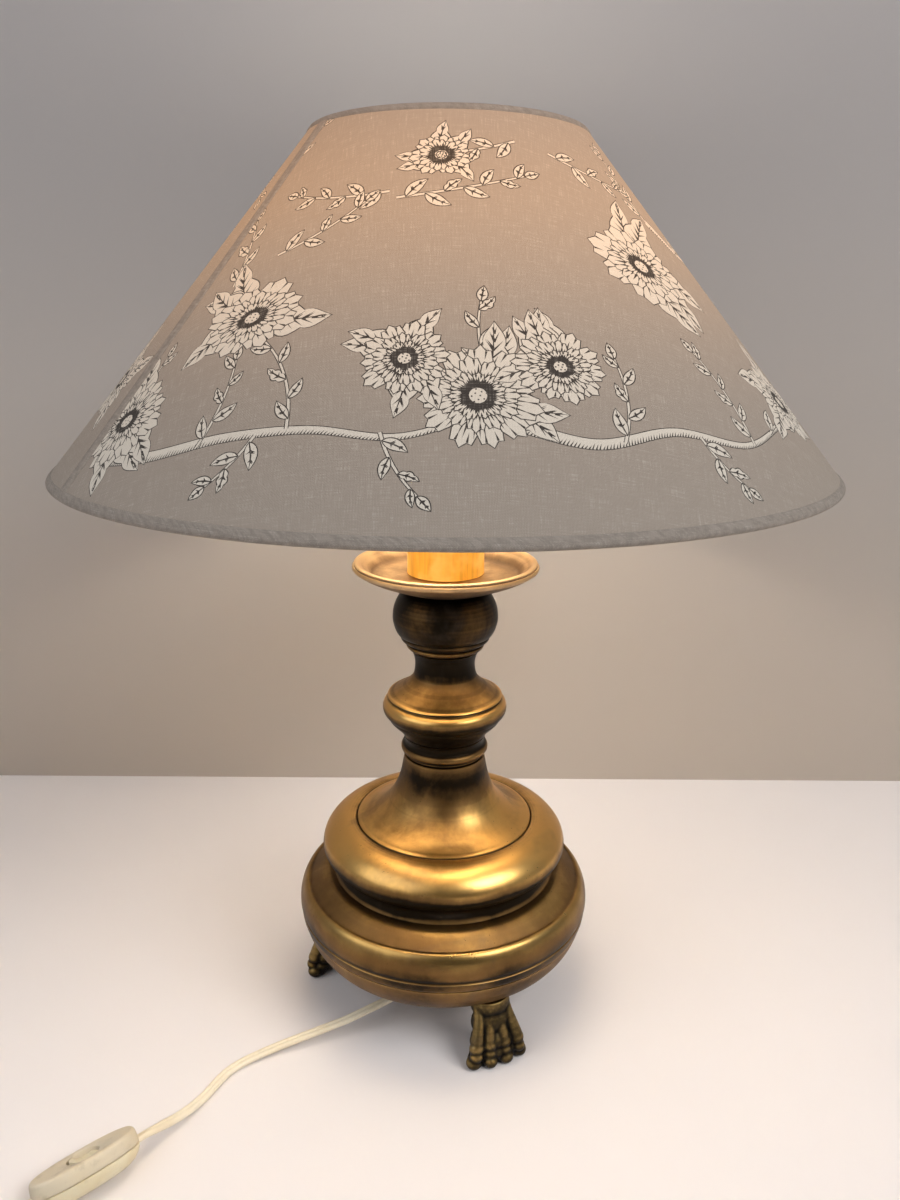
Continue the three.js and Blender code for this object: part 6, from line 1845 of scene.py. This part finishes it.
class LAMP_OT_stage(bpy.types.Operator):
    """Sets up the table, wall, lights and the photograph's camera"""

    bl_idname = "lamp.stage"
    bl_label = "Table, Wall, Lights and Camera"

    def execute(self, context):
        scene, studio = context.scene, context.scene.lamp_studio
        side, top, far = 2.2, 2.4, studio.wall_distance
        stage_plane("table_top", [(-side, -side, 0), (side, -side, 0), (side, far, 0), (-side, far, 0)],
                    table_finish())
        stage_plane("wall", [(-side, far, 0), (side, far, 0), (side, far, top), (-side, far, top)],
                    wall_finish())
        world = bpy.data.worlds.new("studio")
        world.use_nodes = True
        scene.world = world
        tree = world.node_tree
        ground = next(n for n in tree.nodes if n.type == "BACKGROUND")
        ahead = axis_of(tree, node_at(tree, "ShaderNodeTexCoord").outputs["Generated"], "Y")
        sky = blend_colours(tree, ramp(tree, ahead, -0.95, -0.25), (0.10, 0.105, 0.12), (0.72, 0.80, 0.98))
        feed(tree, ground.inputs["Color"], sky)
        ground.inputs["Strength"].default_value = 0.26
        aim = (0, 0, 0.2)
        soft_light("window", (1.35, -1.1, 1.75), aim, (1.3, 1.0), studio.key_power, (0.985, 0.975, 0.97))
        soft_light("fill", (-1.3, -1.0, 1.3), aim, (1.9, 1.5), studio.fill_power, (0.97, 0.975, 1.0))
        glow = bpy.data.lights.new("bulb_light", "POINT")
        glow.energy, glow.color = studio.bulb_power, (1.0, 0.95, 0.87)
        glow.shadow_soft_size = BULB_LIGHT_RADIUS
        glow.use_soft_falloff = False
        bulb = bpy.data.objects.new("bulb_light", glow)
        bulb.location = BULB_MIDDLE
        collection().objects.link(bulb)
        scene.view_settings.view_transform = "Standard"
        camera = bpy.data.objects.new("camera", bpy.data.cameras.new("camera"))
        camera.data.lens, camera.data.sensor_width = studio.camera_lens, 36
        camera.data.clip_start = 0.01
        camera.matrix_world = (
            Matrix.Translation(Vector(studio.camera_place))
            @ Matrix.Rotation(-studio.camera_yaw, 4, "Z")
            @ Matrix.Rotation(math.pi / 2 - studio.camera_pitch, 4, "X")
            @ Matrix.Rotation(studio.camera_roll, 4, "Z")
        )
        collection().objects.link(camera)
        scene.camera = camera
        return {"FINISHED"}


class LAMP_PT_panel(bpy.types.Panel):
    """Sidebar list of the lamp's operators"""

    bl_idname = "LAMP_PT_panel"
    bl_label = "Brass Table Lamp"
    bl_space_type = "VIEW_3D"
    bl_region_type = "UI"
    bl_category = "Lamp"

    def draw(self, context):
        for operator in OPERATORS:
            self.layout.operator(operator.bl_idname)


OPERATORS = (
    LAMP_OT_stage, LAMP_OT_turned_brass, LAMP_OT_drip_pan, LAMP_OT_paw_feet, LAMP_OT_lampholder,
    LAMP_OT_hardware,
    LAMP_OT_shade_cover, LAMP_OT_shade_trim, LAMP_OT_lead, LAMP_OT_switch, LAMP_OT_plug,
)
CLASSES = (LampSizes, LampColours, LampStudio, *OPERATORS, LAMP_PT_panel)


def register():
    for kind in CLASSES:
        bpy.utils.register_class(kind)
    bpy.types.Scene.lamp_sizes = bpy.props.PointerProperty(type=LampSizes)
    bpy.types.Scene.lamp_colours = bpy.props.PointerProperty(type=LampColours)
    bpy.types.Scene.lamp_studio = bpy.props.PointerProperty(type=LampStudio)


def unregister():
    del bpy.types.Scene.lamp_studio
    del bpy.types.Scene.lamp_colours
    del bpy.types.Scene.lamp_sizes
    for kind in reversed(CLASSES):
        bpy.utils.unregister_class(kind)


def main():
    register()
    for operator in OPERATORS:
        group, name = operator.bl_idname.split(".")
        getattr(getattr(bpy.ops, group), name)()
    bpy.context.view_layer.update()


if __name__ == "__main__":
    main()
